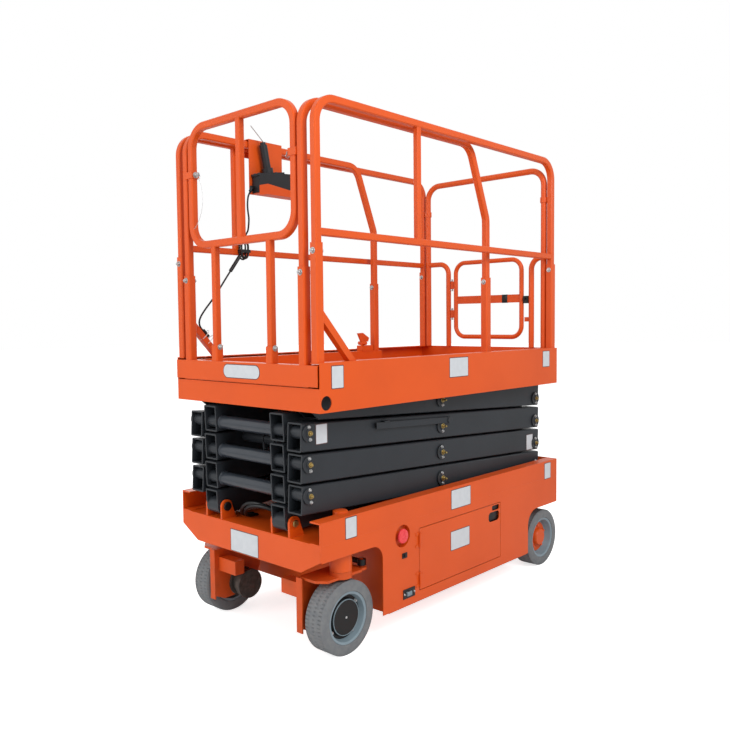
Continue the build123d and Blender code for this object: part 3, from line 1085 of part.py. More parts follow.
def front_rail():
    """Rounded front frame with its middle post, lower posts and the clamps on the side rails."""
    y = at(FRONT_FRAME_Y)
    x = FRONT_FRAME_X
    frame = ring_tube(-x, x, y, MID_RAIL_Z, TOP_RAIL_Z + 6, RAIL, BEND, RAIL_CORNER)
    frame += infill((0, y, MID_RAIL_Z), (0, y, TOP_RAIL_Z), (0, 1, 0))
    for side in SIDES.values():
        frame += infill((side * FRONT_POST_X, y, PANEL_TOP), (side * FRONT_POST_X, y, MID_RAIL_Z), (0, 1, 0))
        clamp_x = sorted((side * (x - RAIL / 2 - 5), side * (EXTENSION_RAIL_X - RAIL / 2 - SEAT_GAP)))
        clamp_z = (CLAMP_Z - CLAMP_HEIGHT / 2, CLAMP_Z + CLAMP_HEIGHT / 2)
        frame += block(clamp_x, (y - RAIL / 2 - 4, y + RAIL / 2 + 4), clamp_z)
    return frame


nodes["extension_deck"] = extension_deck()
nodes["extension_sleeves"] = extension_sleeves()
nodes["extension_rails"] = extension_rails()
nodes["front_rail"] = front_rail()


def extension_lock():
    """Foot lock of the extension: block and butterfly pedal on the right beam."""
    x = -EXTENSION_RAIL_X
    y = at(1130.0)
    lock = block((x - 20, x + 20), (y - 45, y + 45), (PANEL_TOP, PANEL_TOP + 30))
    lock += bar_x(x - 26, x + 26, y - 20, PANEL_TOP + 42, 10.0)
    lock += block((x - 6, x + 6), (y - 30, y - 10), (PANEL_TOP + 28, PANEL_TOP + 60))
    wing = outline((y - 60, PANEL_TOP + 96), (y - 20, PANEL_TOP + 98), (y + 28, PANEL_TOP + 70), (y + 20, PANEL_TOP + 50), (y - 34, PANEL_TOP + 50))
    lock += sheet_yz(wing, x - 5, x + 5)
    return lock


nodes["extension_lock"] = extension_lock()


# ---------------------------------------------------------------- platform controls
def control_bracket():
    """Sheet plate hung over the right rails, with the lipped tray that carries the control box."""
    x0, sheet = CONTROL_PLATE_X, CONTROL_SHEET
    y0, y1, y2 = at(CONTROL_FRONT), at(CONTROL_PLATE_REAR), at(CONTROL_TRAY_REAR)
    top = TOP_RAIL_Z + RAIL / 2 + SIDE_GAP
    tray = CONTROL_TRAY_Z
    face = outline((y0, tray), (y2, tray), (y2, tray + 32), (y1, tray + 60), (y1, top + sheet), (y0, top + sheet))
    plate = sheet_yz(face, x0, x0 + sheet)
    outer = -MAIN_RAIL_X - RAIL / 2 - 4
    plate += block((outer, x0 + sheet), (y0, y1), (top, top + sheet))
    plate += block((outer, outer + sheet), (y0, y1), (top - 60, top + sheet))
    for pad_y in (y0, y1 - 30):
        plate += block((outer + sheet - 1, -MAIN_RAIL_X + RAIL / 2), (pad_y, pad_y + 30), (TOP_RAIL_Z + RAIL / 2, top))
    x1 = x0 + sheet + CONTROL_BOX_WIDTH + 2
    plate += block((x0, x1 + sheet), (y0 + 12, y2), (tray, tray + sheet))
    lip = outline((y0 + 12, tray - 8), (y0 + 60, tray), (y2, tray), (y2, tray + 24), (y0 + 60, tray + 48), (y0 + 12, tray + 36))
    plate += sheet_yz(lip, x1, x1 + sheet)
    return plate


def control_box():
    """Control box with its rounded nose, sloped switch panel and leaning joystick grip."""
    x0 = CONTROL_PLATE_X + CONTROL_SHEET + 1
    x1 = x0 + CONTROL_BOX_WIDTH
    y0 = at(CONTROL_FRONT + 16)
    z0 = CONTROL_TRAY_Z + CONTROL_SHEET
    nose = at(CONTROL_TRAY_REAR - 20)
    side_face = outline((y0, z0), (y0, z0 + 80), (y0 + 150, z0 + 104), (nose - 36, z0 + 108), (nose, z0 + 90), (nose + 8, z0 + 30), (nose + 8, z0))
    corners = [v for v in side_face.vertices() if v.X > nose - 40 and v.Y > z0 + 80]
    box = sheet_yz(fillet(corners, 14.0), x0, x1)
    panel = outline((y0 - 6, z0 + 77), (y0 + 152, z0 + 102), (y0 + 151, z0 + 112), (y0 - 7, z0 + 87))
    box += sheet_yz(panel, x0 + 2, x1 - 2)
    lean = math.radians(12.0)
    foot = Vector((x0 + x1) / 2, y0 + 72, z0 + 100)
    up = Vector(0, -math.sin(lean), math.cos(lean))
    for start, end, radius in ((0, 22, GRIP_RADIUS + 8), (20, 128, GRIP_RADIUS), (124, 140, GRIP_RADIUS - 5)):
        box += extrude(Plane(origin=foot + up * start, x_dir=(1, 0, 0), z_dir=up) * Circle(radius), amount=end - start)
    return box


nodes["control_bracket"] = control_bracket()
nodes["control_box"] = control_box()


# ---------------------------------------------------------------- control cable
def cable_run(points):
    """Round cable through points (x, station, z): straight runs joined by arcs as large as the runs allow."""
    places = [Vector(x, at(station), z) for x, station, z in points]
    radii = []
    for before, corner, after in zip(places, places[1:], places[2:]):
        first, second = corner - before, after - corner
        turn = math.radians(first.get_angle(second))
        radii.append(0.45 * min(first.length, second.length) / math.tan(turn / 2))
    print("cable radii", [round(radius) for radius in radii])
    path = FilletPolyline(*places, radius=radii)
    return sweep(Plane(origin=path @ 0, z_dir=path % 0) * Circle(CABLE_DIAMETER / 2), path=path)


CABLE_UPPER = [(CABLE_X, 327.0, 1911.0), (CABLE_X, 314.0, 1888.0), (CABLE_X, 309.0, 1853.0), (CABLE_X - 1, 312.0, 1818.0),
               (CABLE_X, 317.0, 1788.0), (CABLE_X - 10, 322.0, 1757.0), (CABLE_X - 38, 340.0, 1735.0),
               (HANK_X + 2, 346.0, 1717.0), (HANK_X, 342.0, 1690.8)]
CABLE_LOWER = [(HANK_X, 257.0, 1548.0), (HANK_X - 3, 228.0, 1508.0), (HANK_X - 8, 198.0, 1463.0), (HANK_X - 14, 160.0, 1412.0),
               (HANK_X - 20, 128.0, 1373.0), (HANK_X - 25, 107.0, 1342.0), (HANK_X - 28, 98.0, 1319.0),
               (HANK_X - 29, 101.2, 1295.2), (HANK_X - 29, 118.0, 1276.7)]


def cable_hank():
    """Spare cable in three long loops, strapped together beside the right mid rail."""
    strap_z = MID_RAIL_Z + 4
    rail_face = -MAIN_RAIL_X + INFILL / 2
    hank = block((rail_face + SEAT_GAP, HANK_X + 13.4), (at(313.0), at(367.0)), (strap_z - 7, strap_z + 7))
    for x, front, rear, low in ((HANK_X - 8.6, 319.0, 353.0, 0), (HANK_X, 323.0, 361.0, 4), (HANK_X + 8.6, 318.0, 357.0, 9)):
        y0, y1 = at(front), at(rear)
        for z in (MID_RAIL_Z + 46, MID_RAIL_Z - 34 + low):
            bight = [(x, y0, strap_z), (x, y0, z), (x, y1, z), (x, y1, strap_z)]
            hank += bent_tube(bight, (1, 0, 0), CABLE_DIAMETER, (rear - front) / 2 - 0.5, 0)
    return hank


def cable_plugs():
    """Strain relief of the control box, the plug under the hank and the socket strapped to the brace."""
    pieces = []
    ends = ((CABLE_UPPER[1::-1], 8.0, 22.0), (CABLE_LOWER[1::-1], 8.5, 88.0), (CABLE_LOWER[-2:], 9.9, 40.0))
    for (start, end), radius, length in ends:
        near = Vector(start[0], at(start[1]), start[2])
        far = Vector(end[0], at(end[1]), end[2])
        pieces.append(extrude(Plane(origin=far, z_dir=(far - near).normalized()) * Circle(radius), amount=length))
    box_face = at(CONTROL_FRONT + 16) - SEAT_GAP
    relief = pieces[0] + bar_y(CABLE_X, box_face - 17, box_face, CABLE_UPPER[0][2] + 20, 8.0)
    return relief + pieces[1] + pieces[2]


nodes["control_cable"] = cable_run(CABLE_UPPER) + cable_run(CABLE_LOWER)
nodes["cable_hank"] = cable_hank()
nodes["cable_plugs"] = cable_plugs()

# ---------------------------------------------------------------- write
os.makedirs("parts", exist_ok=True)
for name, solid in nodes.items():
    export_step(solid, os.path.join("parts", name + ".step"))
print(len(nodes), "nodes")
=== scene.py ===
"""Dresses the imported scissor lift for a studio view: finishes, wheels, hardware, plates, lights and camera.

Everything is in metres in the model's own frame: +Z up, -Y towards the steered wheels, +X to the
machine's left. Stations run back from the deck's front edge and, like heights, are given in
millimetres, as a fitter would read them off a drawing.
"""
from __future__ import annotations

import json
import logging
import math
from dataclasses import dataclass
from enum import Enum
from typing import Any, Iterable, Sequence

import bmesh
import bpy
from mathutils import Matrix, Vector

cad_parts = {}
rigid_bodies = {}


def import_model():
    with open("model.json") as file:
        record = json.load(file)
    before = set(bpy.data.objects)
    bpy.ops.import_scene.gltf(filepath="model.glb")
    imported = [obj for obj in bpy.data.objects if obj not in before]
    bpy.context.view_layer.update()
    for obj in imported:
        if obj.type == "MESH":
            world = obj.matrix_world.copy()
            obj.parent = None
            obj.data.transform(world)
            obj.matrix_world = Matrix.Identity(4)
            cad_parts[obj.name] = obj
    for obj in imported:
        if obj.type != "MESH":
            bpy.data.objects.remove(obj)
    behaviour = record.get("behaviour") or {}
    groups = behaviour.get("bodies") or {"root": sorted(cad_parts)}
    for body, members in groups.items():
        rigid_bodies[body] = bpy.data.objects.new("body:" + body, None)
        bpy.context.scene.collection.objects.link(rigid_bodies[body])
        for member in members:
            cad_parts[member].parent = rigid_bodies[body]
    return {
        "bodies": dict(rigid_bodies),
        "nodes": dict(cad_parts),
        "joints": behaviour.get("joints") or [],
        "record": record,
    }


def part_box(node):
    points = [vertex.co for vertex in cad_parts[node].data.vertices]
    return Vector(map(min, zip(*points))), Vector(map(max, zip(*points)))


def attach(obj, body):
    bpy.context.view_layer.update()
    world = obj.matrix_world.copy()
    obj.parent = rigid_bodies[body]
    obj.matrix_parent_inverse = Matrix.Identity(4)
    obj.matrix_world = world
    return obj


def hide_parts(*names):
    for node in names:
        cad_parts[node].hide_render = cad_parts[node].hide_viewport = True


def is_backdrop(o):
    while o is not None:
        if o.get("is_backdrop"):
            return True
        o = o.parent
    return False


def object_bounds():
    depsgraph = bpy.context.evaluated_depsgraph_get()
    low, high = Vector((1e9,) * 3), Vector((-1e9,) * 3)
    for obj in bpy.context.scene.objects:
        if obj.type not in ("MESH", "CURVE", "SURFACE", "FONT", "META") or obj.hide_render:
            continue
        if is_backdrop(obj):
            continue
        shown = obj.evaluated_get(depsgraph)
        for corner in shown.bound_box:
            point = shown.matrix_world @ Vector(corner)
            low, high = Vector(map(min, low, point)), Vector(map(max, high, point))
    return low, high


log = logging.getLogger("scissor_lift")
MM = 0.001
SIDES = {"left": 1, "right": -1}
Place = tuple[float, float, float]


def srgb(code: str) -> tuple[float, float, float, float]:
    """Turns a colour code into linear light.

    Args:
        code: Six hex digits, sRGB.

    Returns:
        Linear red, green, blue and alpha.
    """
    parts = [int(code[i:i + 2], 16) / 255 for i in (0, 2, 4)]
    linear = [c / 12.92 if c <= 0.04045 else ((c + 0.055) / 1.055) ** 2.4 for c in parts]
    return (*linear, 1.0)


# ------------------------------------------------------------------ finishes
@dataclass(frozen=True)
class Finish:
    """A surface by what it is and how it was made; sizes are real ones in millimetres."""

    name: str
    slot: str
    base: str                   # main colour
    drift: str                  # colour it drifts to in broad patches
    edge: str                   # paler colour on eased edges: partly rubbed paint, partly painted highlight
    roughness: float
    metallic: float = 0.0
    coat: float = 0.0
    patch_mm: float = 120.0     # width of the broad patches
    patch_share: float = 0.5
    grain_mm: float = 1.2       # width of the fine relief, drawn coarse enough to show
    relief_mm: float = 0.02
    round_mm: float = 1.2       # how far edges look eased
    edge_wear_highlight_share: float = 0.5            # how much of the paler edge colour shows, rubbed paint and painted highlight


class Finishes(Enum):
    """Every finish of the machine."""

    # Stoved polyester enamel on sheet and tube: even orange, soft gloss, paler on edges, partly from thin paint and
    # partly as painted highlight.
    ORANGE = Finish("stoved_orange_enamel", "orange_paint", "D9520C", "CC4C10", "E56C2C", 0.42, coat=0.05,
                    patch_mm=260, patch_share=0.55, grain_mm=2.5, relief_mm=0.03, round_mm=1.6, edge_wear_highlight_share=0.3)
    # The same enamel on the knuckles inside the wheel bays, made darker as painted shade of the bays, with darker brown
    # dust patches and a duller gloss.
    ORANGE_SHADED_DUSTY = Finish("shaded_dusty_orange_enamel", "orange_paint", "D04E10", "A4451C", "E0703A", 0.5,
                          patch_mm=90, patch_share=0.6, grain_mm=2.0, relief_mm=0.05, round_mm=1.6, edge_wear_highlight_share=0.5)
    # Satin chassis enamel on the arms: blue-black, with paler brownish edges, partly rubbed tube ends and partly
    # painted highlight.
    CHARCOAL = Finish("satin_charcoal_enamel", "charcoal_paint", "272B30", "202327", "55524E", 0.42,
                      patch_mm=220, patch_share=0.6, grain_mm=2.0, relief_mm=0.04, round_mm=1.4, edge_wear_highlight_share=0.7)
    # Gloss enamel on round tubes, which catch a long highlight.
    CHARCOAL_GLOSS = Finish("gloss_charcoal_enamel", "charcoal_paint", "31363D", "282D33", "62666A", 0.3, coat=0.2,
                            patch_mm=90, grain_mm=2.0, relief_mm=0.04, round_mm=1.0, edge_wear_highlight_share=0.4)
    # Black gloss enamel on pressed steel.
    BLACK = Finish("black_enamel", "black_steel", "08090A", "0E0F10", "2C2D2F", 0.4, patch_mm=60,
                   grain_mm=1.5, round_mm=1.0, edge_wear_highlight_share=0.3)
    # Rough casting under grey-brown primer.
    CAST = Finish("primed_casting", "cast_paint", "3B3733", "57504A", "6B635A", 0.62, patch_mm=18, patch_share=0.8,
                  grain_mm=2.4, relief_mm=0.3, round_mm=1.2, edge_wear_highlight_share=0.4)
    # Non-marking solid rubber: mid grey, chalky, dust lying in the tread.
    TYRE = Finish("grey_solid_rubber", "tyre_rubber", "6E7174", "828382", "98978F", 0.82, patch_mm=22,
                  patch_share=0.6, grain_mm=1.6, relief_mm=0.25, round_mm=1.2, edge_wear_highlight_share=0.35)
    # Blue-grey enamel on the spun rims.
    RIM = Finish("blue_grey_enamel", "tyre_rubber", "80919A", "6F8089", "AEBBC0", 0.42, coat=0.1, patch_mm=50,
                 grain_mm=2.0, relief_mm=0.04, round_mm=1.2, edge_wear_highlight_share=0.4)
    # Bright zinc on bolts and pins.
    ZINC = Finish("bright_zinc_plate", "zinc_steel", "B9BABB", "9D9C97", "D6D6D6", 0.34, metallic=0.9, patch_mm=6,
                  grain_mm=0.8, round_mm=0.4, edge_wear_highlight_share=0.3)
    # Yellow chromate zinc on grease nipples and centre bolts.
    BRASSY = Finish("yellow_zinc_plate", "zinc_steel", "A8925A", "8B7B52", "C9B884", 0.36, metallic=0.85, patch_mm=5,
                    grain_mm=0.8, round_mm=0.4, edge_wear_highlight_share=0.3)
    # Hard chrome on cylinder rods.
    CHROME = Finish("hard_chrome", "chrome_rod", "D9DADC", "C4C6C9", "E6E6E6", 0.12, metallic=1.0, grain_mm=0.6,
                    relief_mm=0.004, round_mm=0.5, edge_wear_highlight_share=0.0)
    # Moulded ABS, fine spark texture.
    PLASTIC = Finish("moulded_abs", "black_plastic", "1A1B1E", "222428", "35373B", 0.48, patch_mm=70, grain_mm=1.0,
                     relief_mm=0.08, round_mm=1.4, edge_wear_highlight_share=0.3)
    # Glossy red nylon of the stop button, faded by light.
    RED = Finish("faded_red_nylon", "red_plastic", "E0303A", "EE4A4C", "F4767A", 0.26, coat=0.3, patch_mm=18,
                 patch_share=0.8, grain_mm=1.0, round_mm=1.6, edge_wear_highlight_share=0.3)
    # PVC cable sheath.
    CABLE = Finish("pvc_sheath", "cable_rubber", "121314", "1B1C1E", "2B2C2E", 0.44, patch_mm=20, grain_mm=1.0,
                   relief_mm=0.03, round_mm=0.6, edge_wear_highlight_share=0.1)
    # Brushed blank plate, pale grey.
    PLATE = Finish("blank_plate_film", "orange_paint", "C9CDD1", "BBC0C5", "DADDE0", 0.38, patch_mm=25, grain_mm=0.9,
                   relief_mm=0.01, round_mm=0.3, edge_wear_highlight_share=0.0)
    # Dark printed border of a blank plate.
    BORDER = Finish("plate_border", "black_plastic", "5A3A38", "4A3433", "6A4A48", 0.4, patch_mm=25, grain_mm=0.9,
                    relief_mm=0.01, round_mm=0.3, edge_wear_highlight_share=0.0)
    # White nylon ties.
    NYLON = Finish("white_nylon", "red_plastic", "E6E6E2", "D9D9D4", "F2F2F0", 0.4, patch_mm=8, grain_mm=0.8,
                   round_mm=0.4, edge_wear_highlight_share=0.0)


def add_node(tree: bpy.types.NodeTree, kind: str, settings: dict[str, Any] | None = None,
             links: dict[str, bpy.types.NodeSocket] | None = None) -> bpy.types.Node:
    """Adds a shader node.

    Args:
        tree: Node tree that takes the node.
        kind: Node type.
        settings: Properties by name; a key that names an input sets that socket.
        links: Sockets to link from, by the name or number of this node's input.

    Returns:
        The new node.
    """
    node = tree.nodes.new(kind)
    for key, value in (settings or {}).items():
        if hasattr(node, key):
            setattr(node, key, value)
        else:
            node.inputs[key].default_value = value
    for key, source in (links or {}).items():
        tree.links.new(source, node.inputs[int(key) if key.isdigit() else key])
    return node


class MaterialShop:
    """Mixes each finish once and hands it out."""

    def __init__(self) -> None:
        """Starts with an empty shelf."""
        self._shelf: dict[str, bpy.types.Material] = {}

    def get(self, finish: Finishes) -> bpy.types.Material:
        """Hands out a finish.

        Args:
            finish: Which finish.

        Returns:
            Its material.
        """
        spec = finish.value
        if spec.name not in self._shelf:
            self._shelf[spec.name] = self._mix(spec)
        return self._shelf[spec.name]

    @staticmethod
    def _mix(spec: Finish) -> bpy.types.Material:
        """Builds the nodes: broad colour drift, paler edges (partly rubbed paint, partly painted highlight), uneven
        gloss and fine relief.

        Args:
            spec: The finish.

        Returns:
            Its material.
        """
        material = bpy.data.materials.new(spec.name)
        material.use_nodes = True
        tree = material.node_tree
        shader = tree.nodes["Principled BSDF"]
        shader.inputs["Metallic"].default_value = spec.metallic
        shader.inputs["Specular IOR Level"].default_value = 0.5 if spec.metallic else 0.34
        shader.inputs["Coat Weight"].default_value = spec.coat
        shader.inputs["Coat Roughness"].default_value = 0.12
        place = add_node(tree, "ShaderNodeTexCoord").outputs["Object"]
        broad = add_node(tree, "ShaderNodeTexNoise", {"Scale": 1000 / spec.patch_mm, "Detail": 5.0}, {"Vector": place})
        share = add_node(tree, "ShaderNodeMapRange", {"From Min": 0.38, "From Max": 0.72, "To Max": spec.patch_share},
                         {"Value": broad.outputs["Fac"]})
        body = add_node(tree, "ShaderNodeMix", {"data_type": "RGBA"}, {"Factor": share.outputs["Result"]})
        body.inputs["A"].default_value = srgb(spec.base)
        body.inputs["B"].default_value = srgb(spec.drift)
        eased = add_node(tree, "ShaderNodeBevel", {"samples": 4, "Radius": spec.round_mm * MM})
        colour = body.outputs["Result"]
        # Paler colour on every eased edge: partly rubbed paint, partly painted highlight.
        if spec.edge_wear_highlight_share > 0:
            flat = add_node(tree, "ShaderNodeNewGeometry").outputs["Normal"]
            turn = add_node(tree, "ShaderNodeVectorMath", {"operation": "DOT_PRODUCT"},
                            {"0": eased.outputs["Normal"], "1": flat})
            edge_wear_highlight_mask = add_node(tree, "ShaderNodeMapRange",
                              {"From Min": 0.99, "From Max": 0.8, "To Max": spec.edge_wear_highlight_share, "clamp": True},
                              {"Value": turn.outputs["Value"]})
            mixed = add_node(tree, "ShaderNodeMix", {"data_type": "RGBA"}, {"Factor": edge_wear_highlight_mask.outputs["Result"]})
            mixed.inputs["B"].default_value = srgb(spec.edge)
            tree.links.new(colour, mixed.inputs["A"])
            colour = mixed.outputs["Result"]
        tree.links.new(colour, shader.inputs["Base Color"])
        gloss = add_node(tree, "ShaderNodeMapRange",
                         {"To Min": max(spec.roughness - 0.06, 0.05), "To Max": spec.roughness + 0.08},
                         {"Value": broad.outputs["Fac"]})
        tree.links.new(gloss.outputs["Result"], shader.inputs["Roughness"])
        fine = add_node(tree, "ShaderNodeTexNoise", {"Scale": 1000 / spec.grain_mm, "Detail": 2.0}, {"Vector": place})
        relief = add_node(tree, "ShaderNodeBump", {"Distance": spec.relief_mm * MM},
                          {"Height": fine.outputs["Fac"], "Normal": eased.outputs["Normal"]})
        tree.links.new(relief.outputs["Normal"], shader.inputs["Normal"])
        return material


NODE_FINISHES: tuple[tuple[str, Finishes], ...] = (
    ("tyre_", Finishes.TYRE),
    ("hub_", Finishes.RIM),
    ("inner_arms", Finishes.CHARCOAL),
    ("outer_arms", Finishes.CHARCOAL),
    ("safety_prop", Finishes.CHARCOAL),
    ("lift_barrel", Finishes.CHARCOAL_GLOSS),
    ("lift_rod", Finishes.CHROME),
    ("steer_rod", Finishes.CHROME),
    ("steer_barrel", Finishes.BLACK),
    ("tie_rod", Finishes.BLACK),
    ("lower_rollers", Finishes.ZINC),
    ("upper_rollers", Finishes.ZINC),
    ("gate_hinges", Finishes.ZINC),
    ("gate_latch", Finishes.BLACK),
    ("ground_panel", Finishes.PLASTIC),
    ("drive_motor", Finishes.CAST),
    ("battery_pack", Finishes.PLASTIC),
    ("hydraulic_unit", Finishes.BLACK),
    ("control_box", Finishes.PLASTIC),
    ("control_cable", Finishes.CABLE),
    ("cable_", Finishes.CABLE),
    ("side_controls", Finishes.RED),
    ("knuckle", Finishes.ORANGE_SHADED_DUSTY),
    ("", Finishes.ORANGE),
)


# ------------------------------------------------------------------ bench
class Bench:
    """Shapes meshes with bmesh operators and fixes them to the machine's bodies."""

    def __init__(self, shop: MaterialShop) -> None:
        """Sets up the bench.

        Args:
            shop: Where finishes come from.
        """
        self.shop = shop
        self.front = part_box("platform_deck")[0].y

    def at(self, station: float) -> float:
        """Y in metres of a station in millimetres."""
        return self.front + station * MM

    def spot(self, x: float, station: float, height: float) -> Vector:
        """Point in metres of an X, a station and a height in millimetres."""
        return Vector((x * MM, self.at(station), height * MM))

    def slab(self, mesh: bmesh.types.BMesh, low: Place, high: Place, ease: float = 0.0) -> None:
        """Adds a box with eased edges.

        Args:
            mesh: Mesh that takes it.
            low: Lowest corner, metres.
            high: Highest corner, metres.
            ease: Radius taken off the edges, metres.
        """
        made = bmesh.ops.create_cube(mesh, size=1.0)["verts"]
        middle = [(a + b) / 2 for a, b in zip(low, high)]
        size = [abs(b - a) for a, b in zip(low, high)]
        bmesh.ops.transform(mesh, matrix=Matrix.Translation(middle) @ Matrix.Diagonal((*size, 1.0)), verts=made)
        if ease > 0:
            edges = list({edge for vert in made for edge in vert.link_edges})
            bmesh.ops.bevel(mesh, geom=edges, offset=ease, segments=2, profile=0.5, affect="EDGES", material=-1)

    def turned(self, mesh: bmesh.types.BMesh, profile: Sequence[tuple[float, float]], centre: Place,
               axis: Sequence[float], steps: int = 48) -> None:
        """Adds a turned shape.

        Args:
            mesh: Mesh that takes it.
            profile: Radius and height along the axis of each corner, metres; it starts and ends on
                the axis, or closes on itself where the first and last corners are the same.
            centre: Foot of the axis, metres.
            axis: Direction of the axis.
            steps: Steps round the axis.
        """
        loose = bmesh.new()
        verts = [loose.verts.new((radius, 0.0, height)) for radius, height in profile]
        edges = [loose.edges.new(pair) for pair in zip(verts, verts[1:])]
        bmesh.ops.spin(loose, geom=verts + edges, cent=(0, 0, 0), axis=(0, 0, 1), dvec=(0, 0, 0),
                       angle=math.tau, steps=steps, use_merge=True, use_duplicate=False)
        bmesh.ops.remove_doubles(loose, verts=loose.verts, dist=1e-6)
        bmesh.ops.recalc_face_normals(loose, faces=loose.faces)
        turn = Vector((0, 0, 1)).rotation_difference(Vector(axis).normalized()).to_matrix().to_4x4()
        bmesh.ops.transform(loose, matrix=Matrix.Translation(centre) @ turn, verts=loose.verts)
        self.join(mesh, loose)

    @staticmethod
    def puck(radius: float, height: float, ease: float, sink: float = 0.0) -> list[tuple[float, float]]:
        """Draws the profile of a round head with an eased rim.

        Args:
            radius: Its radius, millimetres.
            height: Its height.
            ease: How much the rim is eased.
            sink: How far its foot goes into the surface.

        Returns:
            Its corners in metres, for turning.
        """
        corners = ((0, -sink), (radius, -sink), (radius, height - ease), (radius - ease, height), (0, height))
        return [(across * MM, up * MM) for across, up in corners]

    @staticmethod
    def join(mesh: bmesh.types.BMesh, loose: bmesh.types.BMesh) -> None:
        """Moves one mesh into another.

        Args:
            mesh: Mesh that takes it.
            loose: Mesh that is emptied and freed.
        """
        holder = bpy.data.meshes.new("holder")
        loose.to_mesh(holder)
        loose.free()
        mesh.from_mesh(holder)
        bpy.data.meshes.remove(holder)

    def bolt(self, mesh: bmesh.types.BMesh, foot: Place, axis: Sequence[float], across: float = 13.0,
             height: float = 6.0, washer: bool = True, shank: float = 0.0) -> None:
        """Adds a hexagon head on its washer.

        Args:
            mesh: Mesh that takes it.
            foot: Where the washer sits, metres.
            axis: Direction that the head points.
            across: Width across the flats, millimetres.
            height: Head height, millimetres.
            washer: Whether there is a washer.
            shank: Length of thread past the head, millimetres.
        """
        axis = Vector(axis).normalized()
        start = Vector(foot)
        if washer:
            self.turned(mesh, self.puck(across * 0.82, 1.8, 0.6, 1), start, axis, 20)
            start = start + axis * 1.8 * MM
        corner = across / 2 / math.cos(math.pi / 6) * MM
        loose = bmesh.new()
        bmesh.ops.create_cone(loose, cap_ends=True, segments=6, radius1=corner, radius2=corner, depth=height * MM)
        bmesh.ops.bevel(loose, geom=loose.edges[:], offset=0.6 * MM, segments=1, profile=0.5, affect="EDGES",
                        material=-1)
        turn = Vector((0, 0, 1)).rotation_difference(axis).to_matrix().to_4x4()
        bmesh.ops.transform(loose, matrix=Matrix.Translation(start + axis * height / 2 * MM) @ turn, verts=loose.verts)
        self.join(mesh, loose)
        if shank:
            self.turned(mesh, self.puck(across * 0.3, height + shank, 1), start, axis, 16)

    def fix(self, name: str, mesh: bmesh.types.BMesh, finish: Finishes, body: str,
            smooth: float = 40.0) -> bpy.types.Object:
        """Makes an object of a mesh and fixes it to a body.

        Args:
            name: The piece's name.
            mesh: Its shape, freed here.
            finish: Its finish.
            body: Body it rides on.
            smooth: Edges flatter than this many degrees shade smooth.

        Returns:
            The piece.
        """
        for edge in mesh.edges:
            faces = edge.link_faces
            edge.smooth = len(faces) == 2 and faces[0].normal.angle(faces[1].normal, 0.0) < math.radians(smooth)
        for face in mesh.faces:
            face.smooth = True
        data = bpy.data.meshes.new(name)
        mesh.to_mesh(data)
        mesh.free()
        piece = bpy.data.objects.new(name, data)
        bpy.context.scene.collection.objects.link(piece)
        data.materials.append(self.shop.get(finish))
        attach(piece, body)
        log.info("%s on %s, %d faces", name, body, len(data.polygons))
        return piece

    def wire(self, name: str, points: Iterable[Sequence[float]], radius_mm: float, finish: Finishes,
             body: str, ring: bool = False) -> bpy.types.Object:
        """Lays a round wire or hose along a smooth line.

        Args:
            name: The piece's name.
            points: Control points, metres.
            radius_mm: Its radius.
            finish: Its finish.
            body: Body it rides on.
            ring: Whether it closes on itself.

        Returns:
            The piece, a mesh.
        """
        curve = bpy.data.curves.new(name, "CURVE")
        curve.dimensions = "3D"
        line = curve.splines.new("NURBS")
        points = [tuple(point) for point in points]
        line.points.add(len(points) - 1)
        for knot, point in zip(line.points, points):
            knot.co = (*point, 1.0)
        line.use_cyclic_u = ring
        line.use_endpoint_u = not ring
        line.order_u = 3
        curve.resolution_u = 10
        curve.bevel_depth = radius_mm * MM
        curve.bevel_resolution = 3
        curve.use_fill_caps = not ring
        holder = bpy.data.objects.new(name + "_line", curve)
        bpy.context.scene.collection.objects.link(holder)
        bpy.context.view_layer.update()
        data = bpy.data.meshes.new_from_object(holder)
        bpy.data.objects.remove(holder)
        mesh = bmesh.new()
        mesh.from_mesh(data)
        bpy.data.meshes.remove(data)
        bmesh.ops.remove_doubles(mesh, verts=mesh.verts, dist=1e-6)
        bmesh.ops.recalc_face_normals(mesh, faces=mesh.faces)
        return self.fix(name, mesh, finish, body, 60.0)


